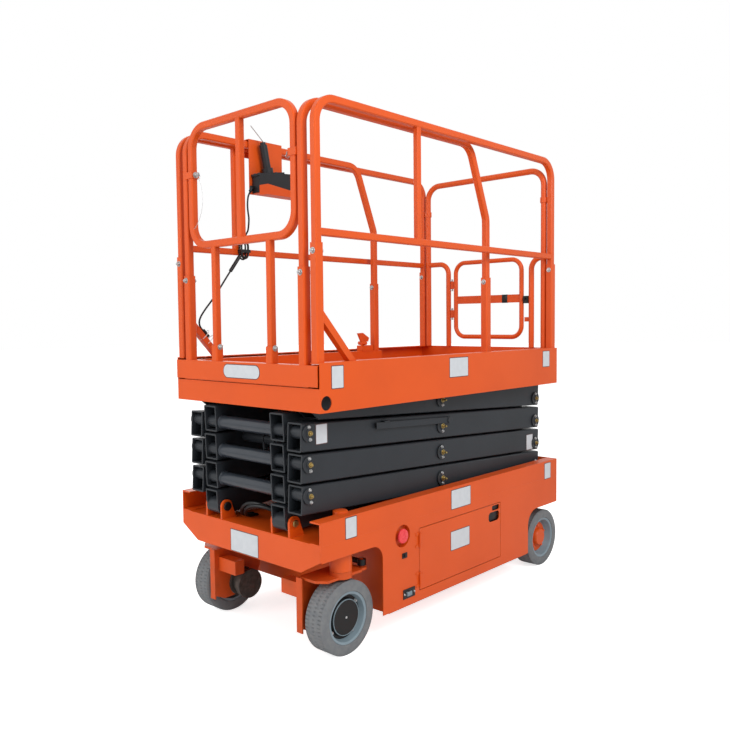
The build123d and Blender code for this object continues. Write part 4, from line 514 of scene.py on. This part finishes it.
# ------------------------------------------------------------------ wheels
@dataclass
class Wheel:
    """One wheel: notched tyre on a spun rim, with a cover disc in front or a stepped hub behind."""

    bench: Bench
    end: str
    side: str
    notches: int = 60
    steps_per_notch: int = 3
    notch_depth: float = 3.2 * MM
    shoulder: float = 12.0 * MM
    tread_rows: tuple[tuple[float, float, int], ...] = ((0.62, 1.12, 0), (-0.16, 0.16, 1), (-1.12, -0.62, 2))
    rim_lip: float = 12.0 * MM
    disc_radius: float = 70.0 * MM

    def build(self) -> None:
        """Builds and fixes the wheel's pieces."""
        self.name = f"{self.end}_{self.side}"
        low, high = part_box("tyre_" + self.name)
        self.centre = (low + high) / 2
        self.radius = (high.z - low.z) / 2
        self.half = (high.x - low.x) / 2
        rim_low, rim_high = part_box("hub_" + self.name)
        self.rim = (rim_high.z - rim_low.z) / 2
        self.out = SIDES[self.side]
        self._tyre()
        if self.end == "front":
            self._front_hub()
        else:
            self._rear_hub()

    def _turn(self, mesh: bmesh.types.BMesh, profile: Sequence[tuple[float, float]], steps: int = 72) -> None:
        """Adds a turned shape on the wheel's axis.

        Args:
            mesh: Mesh that takes it.
            profile: Radius and height of each corner; heights run outwards from the tyre's middle.
            steps: Steps round the axis.
        """
        self.bench.turned(mesh, profile, self.centre, (self.out, 0, 0), steps)

    def _tyre(self) -> None:
        """Turned tyre with its tread notches pressed in row by row."""
        mesh = bmesh.new()
        r, h, s, seat = self.radius, self.half, self.shoulder, self.rim + 0.0002
        marks = sorted({edge * (h - s) for row in self.tread_rows for edge in row[:2]} | {0.0})
        profile = [(seat, -h + 3 * MM), (seat + 3 * MM, -h), (r - s, -h), (r - 0.35 * s, -h + 0.35 * s)]
        profile += [(r, mark) for mark in marks]
        profile += [(r - 0.35 * s, h - 0.35 * s), (r - s, h), (seat + 3 * MM, h), (seat, h - 3 * MM),
                    (seat, -h + 3 * MM)]
        self._turn(mesh, profile, self.notches * self.steps_per_notch)
        step = math.tau / (self.notches * self.steps_per_notch)
        chosen = []
        for face in mesh.faces:
            spot = face.calc_center_median() - self.centre
            reach = math.hypot(spot.y, spot.z)
            if reach < r * 0.97:
                continue
            count = int((math.atan2(spot.z, spot.y) % math.tau) / step)
            across = spot.x / (h - s)
            for near, far, shift in self.tread_rows:
                if near < across < far and count % self.steps_per_notch == shift % self.steps_per_notch:
                    chosen.append(face)
        bmesh.ops.inset_region(mesh, faces=chosen, thickness=0.7 * MM, depth=0.0, use_even_offset=True)
        verts = {vert for face in chosen for vert in face.verts}
        for vert in verts:
            spot = vert.co - self.centre
            scale = 1 - self.notch_depth / math.hypot(spot.y, spot.z)
            vert.co = self.centre + Vector((spot.x, spot.y * scale, spot.z * scale))
        piece = self.bench.fix("tyre_tread_" + self.name, mesh, Finishes.TYRE, "wheel_" + self.name, 32.0)
        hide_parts("tyre_" + self.name)

    def _rim_profile(self, web_out: float, web_in: float) -> list[tuple[float, float]]:
        """Draws the closed section of rim and web.

        Args:
            web_out: Outer face of the web.
            web_in: Inner face of the web.

        Returns:
            Its corners, for turning.
        """
        outer, lip, h = self.rim, self.rim - self.rim_lip, self.half
        return [(26 * MM, web_in), (lip - 3 * MM, web_in), (lip, web_in - 3 * MM), (lip + 2 * MM, -h + 5 * MM),
                (outer, -h + 4 * MM), (outer, h - 4 * MM), (outer - 2 * MM, h - 3 * MM), (lip + 2 * MM, h - 6 * MM),
                (lip - 1 * MM, h - 14 * MM), (lip - 4 * MM, web_out + 3 * MM), (lip - 7 * MM, web_out),
                (26 * MM, web_out), (26 * MM, web_in)]

    def _front_hub(self) -> None:
        """Pale rim, black web, black cover disc with a bright ring and its centre screw."""
        mesh = bmesh.new()
        self._turn(mesh, self._rim_profile(18 * MM, 8 * MM))
        rim = self.bench.fix("rim_" + self.name, mesh, Finishes.RIM, "wheel_" + self.name)
        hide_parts("hub_" + self.name)
        disc, top = self.disc_radius, self.half - 14 * MM
        mesh = bmesh.new()
        self._turn(mesh, [(0, -36 * MM), (46 * MM, -36 * MM), (46 * MM, 6 * MM), (self.rim - 16 * MM, 7 * MM),
                          (self.rim - 16 * MM, 20 * MM), (disc + 6 * MM, 20 * MM), (disc + 3 * MM, 24 * MM),
                          (disc, top - 3 * MM), (disc - 3 * MM, top), (6 * MM, top), (0, top)])
        self.bench.fix("cover_disc_" + self.name, mesh, Finishes.BLACK, "wheel_" + self.name)
        mesh = bmesh.new()
        ring = disc + 1.5 * MM
        self._turn(mesh, [(ring - 3 * MM, top - 4 * MM), (ring, top - 4 * MM), (ring, top - 0.5 * MM),
                          (ring - 2 * MM, top + 0.6 * MM), (ring - 3 * MM, top - 0.4 * MM),
                          (ring - 3 * MM, top - 4 * MM)])
        self.bench.fix("disc_ring_" + self.name, mesh, Finishes.RIM, "wheel_" + self.name)
        mesh = bmesh.new()
        self._turn(mesh, [(0, top - 1 * MM), (5 * MM, top - 1 * MM), (5 * MM, top + 1 * MM),
                          (3.5 * MM, top + 2.4 * MM), (0, top + 2.8 * MM)], 20)
        for turn in range(4):
            angle = math.radians(35 + 90 * turn)
            spot = self.centre + Vector((self.out * 20 * MM, 82 * MM * math.cos(angle), 82 * MM * math.sin(angle)))
            self.bench.bolt(mesh, spot, (self.out, 0, 0), 10, 5)
        self.bench.fix("disc_screws_" + self.name, mesh, Finishes.ZINC, "wheel_" + self.name)

    def _rear_hub(self) -> None:
        """Pale rim with an orange hub disc, its boss and a ring of nuts."""
        mesh = bmesh.new()
        self._turn(mesh, self._rim_profile(6 * MM, -6 * MM))
        rim = self.bench.fix("rim_" + self.name, mesh, Finishes.RIM, "wheel_" + self.name)
        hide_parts("hub_" + self.name)
        mesh = bmesh.new()
        self._turn(mesh, [(0, -36 * MM), (46 * MM, -36 * MM), (46 * MM, -5 * MM), (46 * MM, 5 * MM), (76 * MM, 5 * MM),
                          (78 * MM, 7 * MM), (78 * MM, 11 * MM), (76 * MM, 13 * MM), (50 * MM, 13 * MM),
                          (46 * MM, 16 * MM), (44 * MM, 32 * MM), (40 * MM, 36 * MM), (10 * MM, 37 * MM), (0, 37 * MM)])
        self.bench.fix("hub_disc_" + self.name, mesh, Finishes.ORANGE, "wheel_" + self.name)
        mesh = bmesh.new()
        for turn in range(5):
            angle = math.radians(18 + 72 * turn)
            spot = self.centre + Vector((self.out * 13 * MM, 62 * MM * math.cos(angle), 62 * MM * math.sin(angle)))
            self.bench.bolt(mesh, spot, (self.out, 0, 0), 14, 8)
        self.bench.fix("hub_nuts_" + self.name, mesh, Finishes.ORANGE, "wheel_" + self.name)


# ------------------------------------------------------------------ scissor hardware
@dataclass
class ArmHardware:
    """Bolts on the pin caps, grease nipples, weld beads and tube sheen of one stage of arms."""

    bench: Bench
    stage: int
    base_pin: float = 530.0
    rise: float = 120.0
    front_pin: float = 32.0
    rear_pin: float = 1685.1
    cap_radius: float = 33.0
    tube_radius: float = 27.0
    inner_face: float = 175.0

    def build(self) -> None:
        """Builds and fixes the stage's hardware."""
        low = self.base_pin + (self.stage - 1) * self.rise
        high = low + self.rise
        middle = (self.front_pin + self.rear_pin) / 2
        self._caps({"rear": (self.rear_pin, low), "centre": (middle, (low + high) / 2),
                    "front": (self.front_pin, high)})
        self._cross_tube(self.rear_pin, high)
        if self.stage > 1:
            self._cross_tube(self.front_pin, low)

    def _caps(self, pins: dict[str, tuple[float, float]]) -> None:
        """Puts two bolts and a nipple on every visible cap, both sides of the machine.

        Args:
            pins: Station and height of each pin by name.
        """
        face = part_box(f"outer_arms_{self.stage}")[1].x if self.stage in (2, 3) else 362 * MM
        bolts, nipples, washers = bmesh.new(), bmesh.new(), bmesh.new()
        for out in SIDES.values():
            for name, (station, height) in pins.items():
                if name == "front" and self.stage == 4:
                    continue
                spot = Vector((out * face, self.bench.at(station), height * MM))
                for lift in (-1, 1):
                    bolt_at = spot + Vector((0, lift * -3 * MM, lift * (self.cap_radius - 9) * MM))
                    self.bench.bolt(bolts, bolt_at, (out, 0, 0), 9, 5)
                self.bench.turned(washers, self.bench.puck(17, 4, 2, 1), spot, (out, 0, 0), 28)
                across, reach = (15, 13) if name == "centre" else (13, 4)
                self.bench.bolt(nipples, spot + Vector((out * 4 * MM, 0, 0)), (out, 0, 0), across, 7, shank=reach)
        body = f"outer_{self.stage}"
        self.bench.fix(f"cap_bolts_{self.stage}", bolts, Finishes.ZINC, body)
        self.bench.fix(f"cap_bosses_{self.stage}", washers, Finishes.CHARCOAL, body)
        self.bench.fix(f"pin_nipples_{self.stage}", nipples, Finishes.BRASSY, body)

    def _cross_tube(self, station: float, height: float) -> None:
        """Lays the gloss enamel on a cross tube, with its weld beads at the arms.

        Args:
            station: Where the tube is, along the machine.
            height: Its height.
        """
        mesh = bmesh.new()
        radius, reach = (self.tube_radius + 0.25) * MM, (self.inner_face - 1.5) * MM
        spot = (-reach, self.bench.at(station), height * MM)
        inside = self.tube_radius * MM - 1 * MM
        ends = [(inside, 0.0), (radius + 3.2 * MM, 0.5 * MM), (radius + 3.0 * MM, 3 * MM), (radius, 6 * MM),
                (radius, 2 * reach - 6 * MM), (radius + 3.0 * MM, 2 * reach - 3 * MM),
                (radius + 3.2 * MM, 2 * reach - 0.5 * MM), (inside, 2 * reach), (inside, 0.0)]
        self.bench.turned(mesh, ends, spot, (1, 0, 0), 48)
        end = "front" if station < 900 else "rear"
        self.bench.fix(f"cross_tube_{end}_{self.stage}", mesh, Finishes.CHARCOAL_GLOSS, f"inner_{self.stage}")


@dataclass
class BaseHardware:
    """What is bolted to the chassis: clevis pin heads, kingpin caps, hose, bay fittings and panel parts."""

    bench: Bench
    front_pin: float = 32.0
    pin_height: float = 530.0
    clevis_face: float = 274.0
    collar_face: float = 157.0
    kingpin: tuple[float, float] = (372.0, 180.0)       # X and station
    channel_top: float = 564.0
    charger: tuple[float, float] = (512.0, 167.0)

    def build(self) -> None:
        """Builds and fixes the chassis hardware."""
        self._clevis_pins()
        self._kingpin_caps()
        self._hoses()
        self._charger()
        self._stop_button()
        self._door_edges()

    def _clevis_pins(self) -> None:
        """Slotted pin heads on the front ears."""
        for side, out in SIDES.items():
            heads = bmesh.new()
            spot = self.bench.spot(out * self.clevis_face, self.front_pin, self.pin_height)
            self.bench.turned(heads, self.bench.puck(14, 6, 2), spot, (out, 0, 0), 28)
            self.bench.slab(heads, spot + Vector((out * 5 * MM, -10 * MM, -1.6 * MM)),
                            spot + Vector((out * 7.4 * MM, 10 * MM, 1.6 * MM)), 0.5 * MM)
            self.bench.fix(f"clevis_head_{side}", heads, Finishes.BRASSY, "chassis")
            heads = bmesh.new()
            spot.x = out * self.collar_face * MM
            self.bench.turned(heads, self.bench.puck(19, 7, 2), spot, (-out, 0, 0), 28)
            self.bench.fix(f"clevis_collar_{side}", heads, Finishes.BLACK, "chassis")

    def _kingpin_caps(self) -> None:
        """Domed caps over the kingpins on the channel flanges."""
        for side, out in SIDES.items():
            mesh = bmesh.new()
            spot = self.bench.spot(out * self.kingpin[0], self.kingpin[1], self.channel_top + 3)
            self.bench.turned(mesh, [(0, -1 * MM), (30 * MM, -1 * MM), (30 * MM, 2 * MM), (27 * MM, 4.5 * MM),
                                     (12 * MM, 5.5 * MM), (0, 5.5 * MM)], spot, (0, 0, 1), 40)
            self.bench.fix(f"kingpin_cap_{side}", mesh, Finishes.ORANGE, "chassis")

    def _hoses(self) -> None:
        """Two hydraulic hoses that loop over the front of the deck plate to the lift cylinder."""
        z = self.pin_height - 50
        for number, (shift, top) in enumerate(((0, 30), (26, 12))):
            points = [(-130 + shift, 150, z), (-126 + shift, 96, z + 6), (-104 + shift, 62, z + 34),
                      (-58 + shift, 50, z + 64 + top / 3), (shift, 58, z + 70 + top / 2),
                      (52 + shift, 84, z + 60 + top / 3), (78 + shift, 130, z + 30), (84 + shift, 200, z + 8),
                      (84 + shift, 300, z)]
            self.bench.wire(f"hose_{number + 1}", [self.bench.spot(*point) for point in points], 8.5,
                            Finishes.CABLE, "chassis")

    def _charger(self) -> None:
        """Grey socket face and screws on the charger panel."""
        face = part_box("ground_panel")[0].x + 3 * MM
        station, height = self.charger
        socket = bmesh.new()
        self.bench.slab(socket, (face - 1 * MM, self.bench.at(station - 20), (height - 9) * MM),
                        (face + 8 * MM, self.bench.at(station + 10), (height + 9) * MM), 1.5 * MM)
        for shift in (-14, -6, 2):
            self.bench.slab(socket, (face + 7 * MM, self.bench.at(station + shift - 2.5), (height - 5) * MM),
                            (face + 9.5 * MM, self.bench.at(station + shift + 2.5), (height + 5) * MM), 0.8 * MM)
        self.bench.fix("charger_socket", socket, Finishes.RIM, "chassis")
        screws = bmesh.new()
        for shift in (-32, 32):
            self.bench.bolt(screws, (face, self.bench.at(station + shift), height * MM), (1, 0, 0), 6, 3)
        self.bench.fix("charger_screws", screws, Finishes.ZINC, "chassis")

    def _stop_button(self) -> None:
        """Mushroom head of the stop button, domed over its CAD core."""
        low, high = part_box("side_controls")
        middle = (low + high) / 2
        radius = (high.z - low.z) / 2
        mesh = bmesh.new()
        base = high.x - 11 * MM
        profile = [(0, 0), (radius - 6 * MM, 0), (radius + 0.3 * MM, 3 * MM), (radius + 0.3 * MM, 8 * MM),
                   (radius - 2 * MM, 11.4 * MM), (radius - 8 * MM, 13 * MM), (8 * MM, 13.6 * MM), (0, 13.6 * MM)]
        self.bench.turned(mesh, profile, (base, middle.y, middle.z), (1, 0, 0), 48)
        piece = self.bench.fix("stop_button", mesh, Finishes.RED, "chassis", 30.0)
        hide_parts("side_controls")

    def _door_edges(self) -> None:
        """Catch plates behind the doors' hand holes."""
        for side, out in SIDES.items():
            mesh = bmesh.new()
            x = out * 436 * MM
            self.bench.slab(mesh, (x - 2 * MM, self.bench.at(1095), 340 * MM),
                            (x + 1 * MM, self.bench.at(1205), 420 * MM), 1 * MM)
            self.bench.fix(f"door_catch_{side}", mesh, Finishes.BLACK, f"door_{side}")


# ------------------------------------------------------------------ platform hardware
@dataclass
class RailHardware:
    """Bolts through the post sleeves, clamp pins with their lanyard, and the gate's black bar end."""

    bench: Bench
    main_bolts: float = 1570.0          # heights of the bolts through the sleeves
    extension_bolts: float = 1494.0
    front_bolts: float = 1209.0
    sleeve: float = 38.0
    clamp_height: float = 1940.0

    def build(self) -> None:
        """Builds and fixes the rail hardware."""
        main, extension = bmesh.new(), bmesh.new()
        for out in SIDES.values():
            for station in (0.0, 1702.0):
                self._through(main, (out * 427, station, self.main_bolts), (0, -1, 0))
            for station in (-7.0, 1189.0):
                self._through(extension, (out * 365, station, self.extension_bolts), (0, -1, 0))
            self._through(extension, (out * 176 + 19, 12.0, self.front_bolts), (1, 0, 0))
        self.bench.fix("sleeve_bolts", main, Finishes.ZINC, "platform")
        self.bench.fix("extension_sleeve_bolts", extension, Finishes.ZINC, "extension")
        self._clamp_pins()
        self._gate_end()

    def _through(self, mesh: bmesh.types.BMesh, head: Place, axis: Place) -> None:
        """Adds a bolt head on one face of a sleeve and its nut on the other.

        Args:
            mesh: Mesh that takes them.
            head: X, station and height of the bolt head.
            axis: Direction that the head points.
        """
        spot = self.bench.spot(*head)
        self.bench.bolt(mesh, spot, axis, 15, 8, shank=4)
        self.bench.bolt(mesh, spot - Vector(axis) * self.sleeve * MM, [-a for a in axis], 15, 8)

    def _clamp_pins(self) -> None:
        """Ringed pins at the front frame's clamps, the right one on a thin wire."""
        for side, out in SIDES.items():
            mesh = bmesh.new()
            spot = self.bench.spot(out * 304, 12, self.clamp_height)
            self.bench.bolt(mesh, spot, (-out, 0, 0), 16, 9, shank=8)
            flange = [(0, 14 * MM), (9 * MM, 14 * MM), (9 * MM, 17 * MM), (0, 17 * MM)]
            self.bench.turned(mesh, flange, spot, (-out, 0, 0), 20)
            self.bench.fix(f"clamp_pin_{side}", mesh, Finishes.ZINC, "extension")
            eye = spot + Vector((-out * 20 * MM, 0, -2 * MM))
            ring = [eye + Vector((0, 9 * MM * math.cos(a), 9 * MM * math.sin(a) - 6 * MM))
                    for a in [math.tau * i / 8 for i in range(8)]]
            self.bench.wire(f"clamp_ring_{side}", ring, 1.1, Finishes.ZINC, "extension", ring=True)
        start = self.bench.spot(-284, 12, self.clamp_height - 14)
        steps = ((0, 0, 0), (9, 4, -22), (20, 6, -70), (18, 4, -125), (4, 0, -170), (-14, -6, -204), (-24, -10, -214))
        self.bench.wire("clamp_lanyard", [start + Vector(step) * MM for step in steps], 0.9, Finishes.ZINC, "extension")

    def _gate_end(self) -> None:
        """Black sleeve on the latch end of the gate's bar."""
        low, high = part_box("gate")
        y = (low.y + high.y) / 2
        mesh = bmesh.new()
        height = low.z + 12.5 * MM + 211 * MM
        self.bench.slab(mesh, (130 * MM, y - 5.2 * MM, height - 23 * MM),
                        (165 * MM, y + 5.2 * MM, height + 23 * MM), 1 * MM)
        self.bench.fix("gate_bar_end", mesh, Finishes.BLACK, "gate")


@dataclass
class ControlHardware:
    """Buttons and thin rod of the control box, and the ties on the cable."""

    bench: Bench

    def build(self) -> None:
        """Builds and fixes the control hardware."""
        low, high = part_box("control_box")
        self._panel(low, high)
        self._ties()

    def _panel(self, low: Vector, high: Vector) -> None:
        """Puts buttons on the sloped panel and the thin rod that leans off the grip.

        Args:
            low: Lowest corner of the control box, metres.
            high: Its highest corner.
        """
        middle = (low.x + high.x) / 2
        slope = math.atan2(25, 158)
        mesh = bmesh.new()
        up = Vector((0, -math.sin(slope), math.cos(slope)))
        buttons = ((14, -14, 7), (14, 12, 7), (34, -14, 5), (34, 0, 5), (118, -12, 6), (118, 12, 6), (136, 0, 6))
        for along, shift, size in buttons:
            height = 1990 * MM + (along - 7) * math.tan(slope) * MM
            foot = Vector((middle + shift * MM, low.y + along * MM, height))
            self.bench.turned(mesh, [(0, -3 * MM), (size * MM, -3 * MM), (size * MM, 3 * MM),
                                     ((size - 1) * MM, 4 * MM), (0, 4.4 * MM)], foot, up, 18)
        self.bench.fix("panel_buttons", mesh, Finishes.CHARCOAL_GLOSS, "platform")
        rod = [(middle, self.bench.at(station), height * MM)
               for station, height in ((404, 2132), (391, 2146), (360, 2172), (322, 2204))]
        self.bench.wire("grip_rod", rod, 2.2, Finishes.ZINC, "platform")

    def _ties(self) -> None:
        """White nylon ties round the brace and the cable's socket."""
        x_out, x_in = -427 - 15.5, -427 + 17.5
        for number, ((s0, z0), (s1, z1)) in enumerate((((142, 1272), (108, 1238)), ((166, 1248), (136, 1217)))):
            ring = []
            for x, s, z in ((x_out, s0 + 4, z0 + 4), (x_in, s0 + 4, z0 + 4), (x_in, s1 - 4, z1 - 4),
                            (x_out, s1 - 4, z1 - 4)):
                ring.append(self.bench.spot(x, s, z))
            self.bench.wire(f"cable_tie_{number + 1}", ring, 1.6, Finishes.NYLON, "platform", ring=True)


# ------------------------------------------------------------------ blank plates
class Facing(Enum):
    """Which way a plate faces, as the axis it stands on and its sign."""

    LEFT = (0, 1)
    FRONT = (1, -1)


@dataclass(frozen=True)
class BlankPlate:
    """One blank plate: where it sits, its extent along the surface and up, in millimetres."""

    name: str
    body: str
    facing: Facing
    surface: float              # the surface it is fixed to, millimetres from the machine's middle or a station
    span: tuple[float, float]   # stations, or X on a front plate
    rise: tuple[float, float]
    oval: bool = False


PLATES = (
    BlankPlate("plate_front", "chassis", Facing.LEFT, 444.5, (134, 199), (475, 560)),
    BlankPlate("plate_channel", "chassis", Facing.LEFT, 444.5, (812, 963), (462, 552)),
    BlankPlate("plate_rear", "chassis", Facing.LEFT, 444.5, (1633, 1698), (469, 555)),
    BlankPlate("plate_door", "door_left", Facing.LEFT, 444.5, (807, 954), (276, 365)),
    BlankPlate("plate_bumper", "chassis", Facing.FRONT, 2.0, (-98, 83), (359, 453)),
    BlankPlate("plate_load", "extension", Facing.FRONT, -8.0, (-111, 124), (1084, 1142), oval=True),
    BlankPlate("plate_deck_front", "platform", Facing.LEFT, 456.0, (58, 124), (1060, 1148)),
    BlankPlate("plate_deck_middle", "platform", Facing.LEFT, 456.0, (788, 930), (1058, 1147)),
    BlankPlate("plate_deck_rear", "platform", Facing.LEFT, 456.0, (1592, 1662), (1064, 1148)),
    BlankPlate("plate_arm_front", "outer_3", Facing.LEFT, 355.0, (69, 133), (840, 920)),
    BlankPlate("plate_arm_rear", "outer_2", Facing.LEFT, 355.0, (1600, 1666), (618, 702)),
)


class Plates:
    """Fixes every blank plate: a dark border with a pale face a hair proud of it."""

    def __init__(self, bench: Bench) -> None:
        """Keeps the bench.

        Args:
            bench: Where the plates are cut.
        """
        self.bench = bench

    def build(self) -> None:
        """Cuts and fixes the plates."""
        for plate in PLATES:
            for label, grow, out, finish in (("_border", 0.0, 0.5, Finishes.BORDER), ("", -3.0, 0.9, Finishes.PLATE)):
                self._layer(plate, label, grow, out, finish)

    def _layer(self, plate: BlankPlate, label: str, grow: float, out: float, finish: Finishes) -> None:
        """Adds one layer of a plate.

        Args:
            plate: Which plate.
            label: End of the layer's name.
            grow: How far it spreads past the plate's extent, millimetres; less than zero draws it in.
            out: How far it stands proud, millimetres.
            finish: Its finish.
        """
        axis, sign = plate.facing.value
        mesh = bmesh.new()
        lo, hi = plate.span[0] - grow, plate.span[1] + grow
        z0, z1 = plate.rise[0] - grow, plate.rise[1] + grow
        verts = [mesh.verts.new(corner) for corner in ((lo, z0, 0), (hi, z0, 0), (hi, z1, 0), (lo, z1, 0))]
        face = mesh.faces.new(verts)
        corner = (z1 - z0) / 2 - 0.5 if plate.oval else 4.0 + grow * 0.5
        bmesh.ops.bevel(mesh, geom=list(face.verts), offset=corner, segments=10 if plate.oval else 4,
                        profile=0.5, affect="VERTICES", material=-1)
        pulled = bmesh.ops.extrude_face_region(mesh, geom=mesh.faces[:])
        moved = [part for part in pulled["geom"] if isinstance(part, bmesh.types.BMVert)]
        bmesh.ops.translate(mesh, verts=moved, vec=(0, 0, out + 0.3))
        for vert in mesh.verts:
            along, height, depth = vert.co
            proud = depth - 0.3
            if axis == 0:
                vert.co = (sign * (plate.surface + proud) * MM, self.bench.at(along), height * MM)
            else:
                vert.co = (along * MM, self.bench.at(plate.surface - proud), height * MM)
        bmesh.ops.recalc_face_normals(mesh, faces=mesh.faces)
        self.bench.fix(plate.name + label, mesh, finish, plate.body)


# ------------------------------------------------------------------ studio
@dataclass
class Studio:
    """White floor, soft lights and the camera."""

    azimuth: float = 42.83
    elevation: float = 3.27
    roll: float = -0.589
    lens: float = 37.79
    sensor: float = 36.0
    eye: Place = (2.4697, -2.8471, 1.3107)
    ambient: float = 0.52
    lamps: tuple[tuple[str, Place, float, float], ...] = (
        ("key", (3.9, -1.2, 3.6), 2.6, 125.0),
        ("front", (-0.9, -5.0, 2.4), 2.8, 95.0),
        ("fill", (-4.5, 1.5, 3.0), 3.5, 45.0),
    )

    def build(self) -> None:
        """Builds the whole studio."""
        self._world()
        self._floor()
        for name, place, size, watts in self.lamps:
            self._lamp(name, place, size, watts)
        self._camera()

    @staticmethod
    def _seen(tree: bpy.types.NodeTree, with_glossy: bool) -> bpy.types.NodeSocket:
        """Adds a value that is 1 for rays that show the backdrop.

        Args:
            tree: Node tree that takes it.
            with_glossy: Whether rays off gloss count, besides those to the camera and through glass.

        Returns:
            The value's socket.
        """
        rays = add_node(tree, "ShaderNodeLightPath").outputs
        seen = add_node(tree, "ShaderNodeMath", {"operation": "MAXIMUM"},
                        {"0": rays["Is Camera Ray"], "1": rays["Is Transmission Ray"]}).outputs[0]
        if with_glossy:
            seen = add_node(tree, "ShaderNodeMath", {"operation": "MAXIMUM"},
                            {"0": seen, "1": rays["Is Glossy Ray"]}).outputs[0]
        return seen

    def _world(self) -> None:
        """White to the eye, plain soft light on the machine."""
        world = bpy.data.worlds.new("studio")
        bpy.context.scene.world = world
        world.use_nodes = True
        tree = world.node_tree
        light = tree.nodes["Background"]
        light.inputs["Color"].default_value = (1, 1, 1, 1)
        light.inputs["Strength"].default_value = self.ambient
        white = add_node(tree, "ShaderNodeBackground", {"Color": (1, 1, 1, 1), "Strength": 1.0})
        choose = add_node(tree, "ShaderNodeMixShader", {},
                          {"0": self._seen(tree, True), "1": light.outputs[0], "2": white.outputs[0]})
        tree.links.new(choose.outputs[0], tree.nodes["World Output"].inputs["Surface"])

    def _floor(self) -> None:
        """Pale floor that keeps the machine's shadow and melts into the backdrop."""
        mesh = bmesh.new()
        bmesh.ops.create_circle(mesh, cap_ends=True, segments=96, radius=40.0)
        data = bpy.data.meshes.new("floor")
        mesh.to_mesh(data)
        mesh.free()
        floor = bpy.data.objects.new("floor", data)
        bpy.context.scene.collection.objects.link(floor)
        material = bpy.data.materials.new("white_paper")
        material.use_nodes = True
        tree = material.node_tree
        matt = tree.nodes["Principled BSDF"]
        matt.inputs["Base Color"].default_value = srgb("F4F4F4")
        matt.inputs["Roughness"].default_value = 0.95
        matt.inputs["Specular IOR Level"].default_value = 0.05
        glow = add_node(tree, "ShaderNodeEmission", {"Color": (1, 1, 1, 1), "Strength": 0.72})
        both = add_node(tree, "ShaderNodeAddShader", {}, {"0": matt.outputs[0], "1": glow.outputs[0]})
        choose = add_node(tree, "ShaderNodeMixShader", {},
                          {"0": self._seen(tree, False), "1": matt.outputs[0], "2": both.outputs[0]})
        tree.links.new(choose.outputs[0], tree.nodes["Material Output"].inputs["Surface"])
        data.materials.append(material)
        floor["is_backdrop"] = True

    @staticmethod
    def _lamp(name: str, place: Place, size: float, watts: float) -> None:
        """Hangs a round soft lamp aimed at the machine's middle.

        Args:
            name: Its name.
            place: Where it hangs, metres.
            size: Its width, metres.
            watts: Its power.
        """
        data = bpy.data.lights.new(name, "AREA")
        data.shape = "DISK"
        data.size = size
        data.energy = watts
        lamp = bpy.data.objects.new(name, data)
        lamp.location = place
        lamp.rotation_euler = (Vector((0.0, 0.0, 1.0)) - Vector(place)).to_track_quat("-Z", "Y").to_euler()
        bpy.context.scene.collection.objects.link(lamp)

    def _camera(self) -> None:
        """Sets the camera at eye, turned by azimuth, elevation and roll."""
        data = bpy.data.cameras.new("camera")
        data.lens = self.lens
        data.sensor_width = self.sensor
        data.sensor_fit = "HORIZONTAL"
        camera = bpy.data.objects.new("camera", data)
        azimuth, elevation, roll = (math.radians(v) for v in (self.azimuth, self.elevation, self.roll))
        back = Vector((math.sin(azimuth) * math.cos(elevation), -math.cos(azimuth) * math.cos(elevation),
                       math.sin(elevation)))
        right = (-back).cross(Vector((0, 0, 1))).normalized()
        up = right.cross(-back)
        turned_right = math.cos(roll) * right + math.sin(roll) * up
        turned_up = math.cos(roll) * up - math.sin(roll) * right
        turn = Matrix((turned_right, turned_up, back)).transposed()
        camera.matrix_world = Matrix.Translation(self.eye) @ turn.to_4x4()
        bpy.context.scene.collection.objects.link(camera)
        bpy.context.scene.camera = camera


# ------------------------------------------------------------------ the machine
class Machine:
    """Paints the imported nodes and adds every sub-assembly's pieces."""

    def __init__(self) -> None:
        """Loads the frame and keeps its box."""
        self.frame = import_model()
        self.cad_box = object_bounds()
        self.shop = MaterialShop()
        self.bench = Bench(self.shop)

    def build(self) -> None:
        """Builds everything that rides on the machine."""
        self._paint_nodes()
        for end in ("front", "rear"):
            for side in SIDES:
                Wheel(self.bench, end, side).build()
        for stage in range(1, 5):
            ArmHardware(self.bench, stage).build()
        BaseHardware(self.bench).build()
        RailHardware(self.bench).build()
        ControlHardware(self.bench).build()
        Plates(self.bench).build()

    def _paint_nodes(self) -> None:
        """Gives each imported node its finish."""
        for name, node in self.frame["nodes"].items():
            finish = next(chosen for start, chosen in NODE_FINISHES if name.startswith(start))
            node.data.materials.clear()
            node.data.materials.append(self.shop.get(finish))

    def write_size(self) -> None:
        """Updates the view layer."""
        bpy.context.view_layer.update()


def main() -> None:
    """Builds the machine and its studio in order."""
    logging.basicConfig(level=logging.INFO, format="%(message)s")
    machine = Machine()
    Studio().build()
    machine.build()
    bpy.context.scene.view_settings.view_transform = "Standard"
    machine.write_size()


if __name__ == "__main__":
    main()
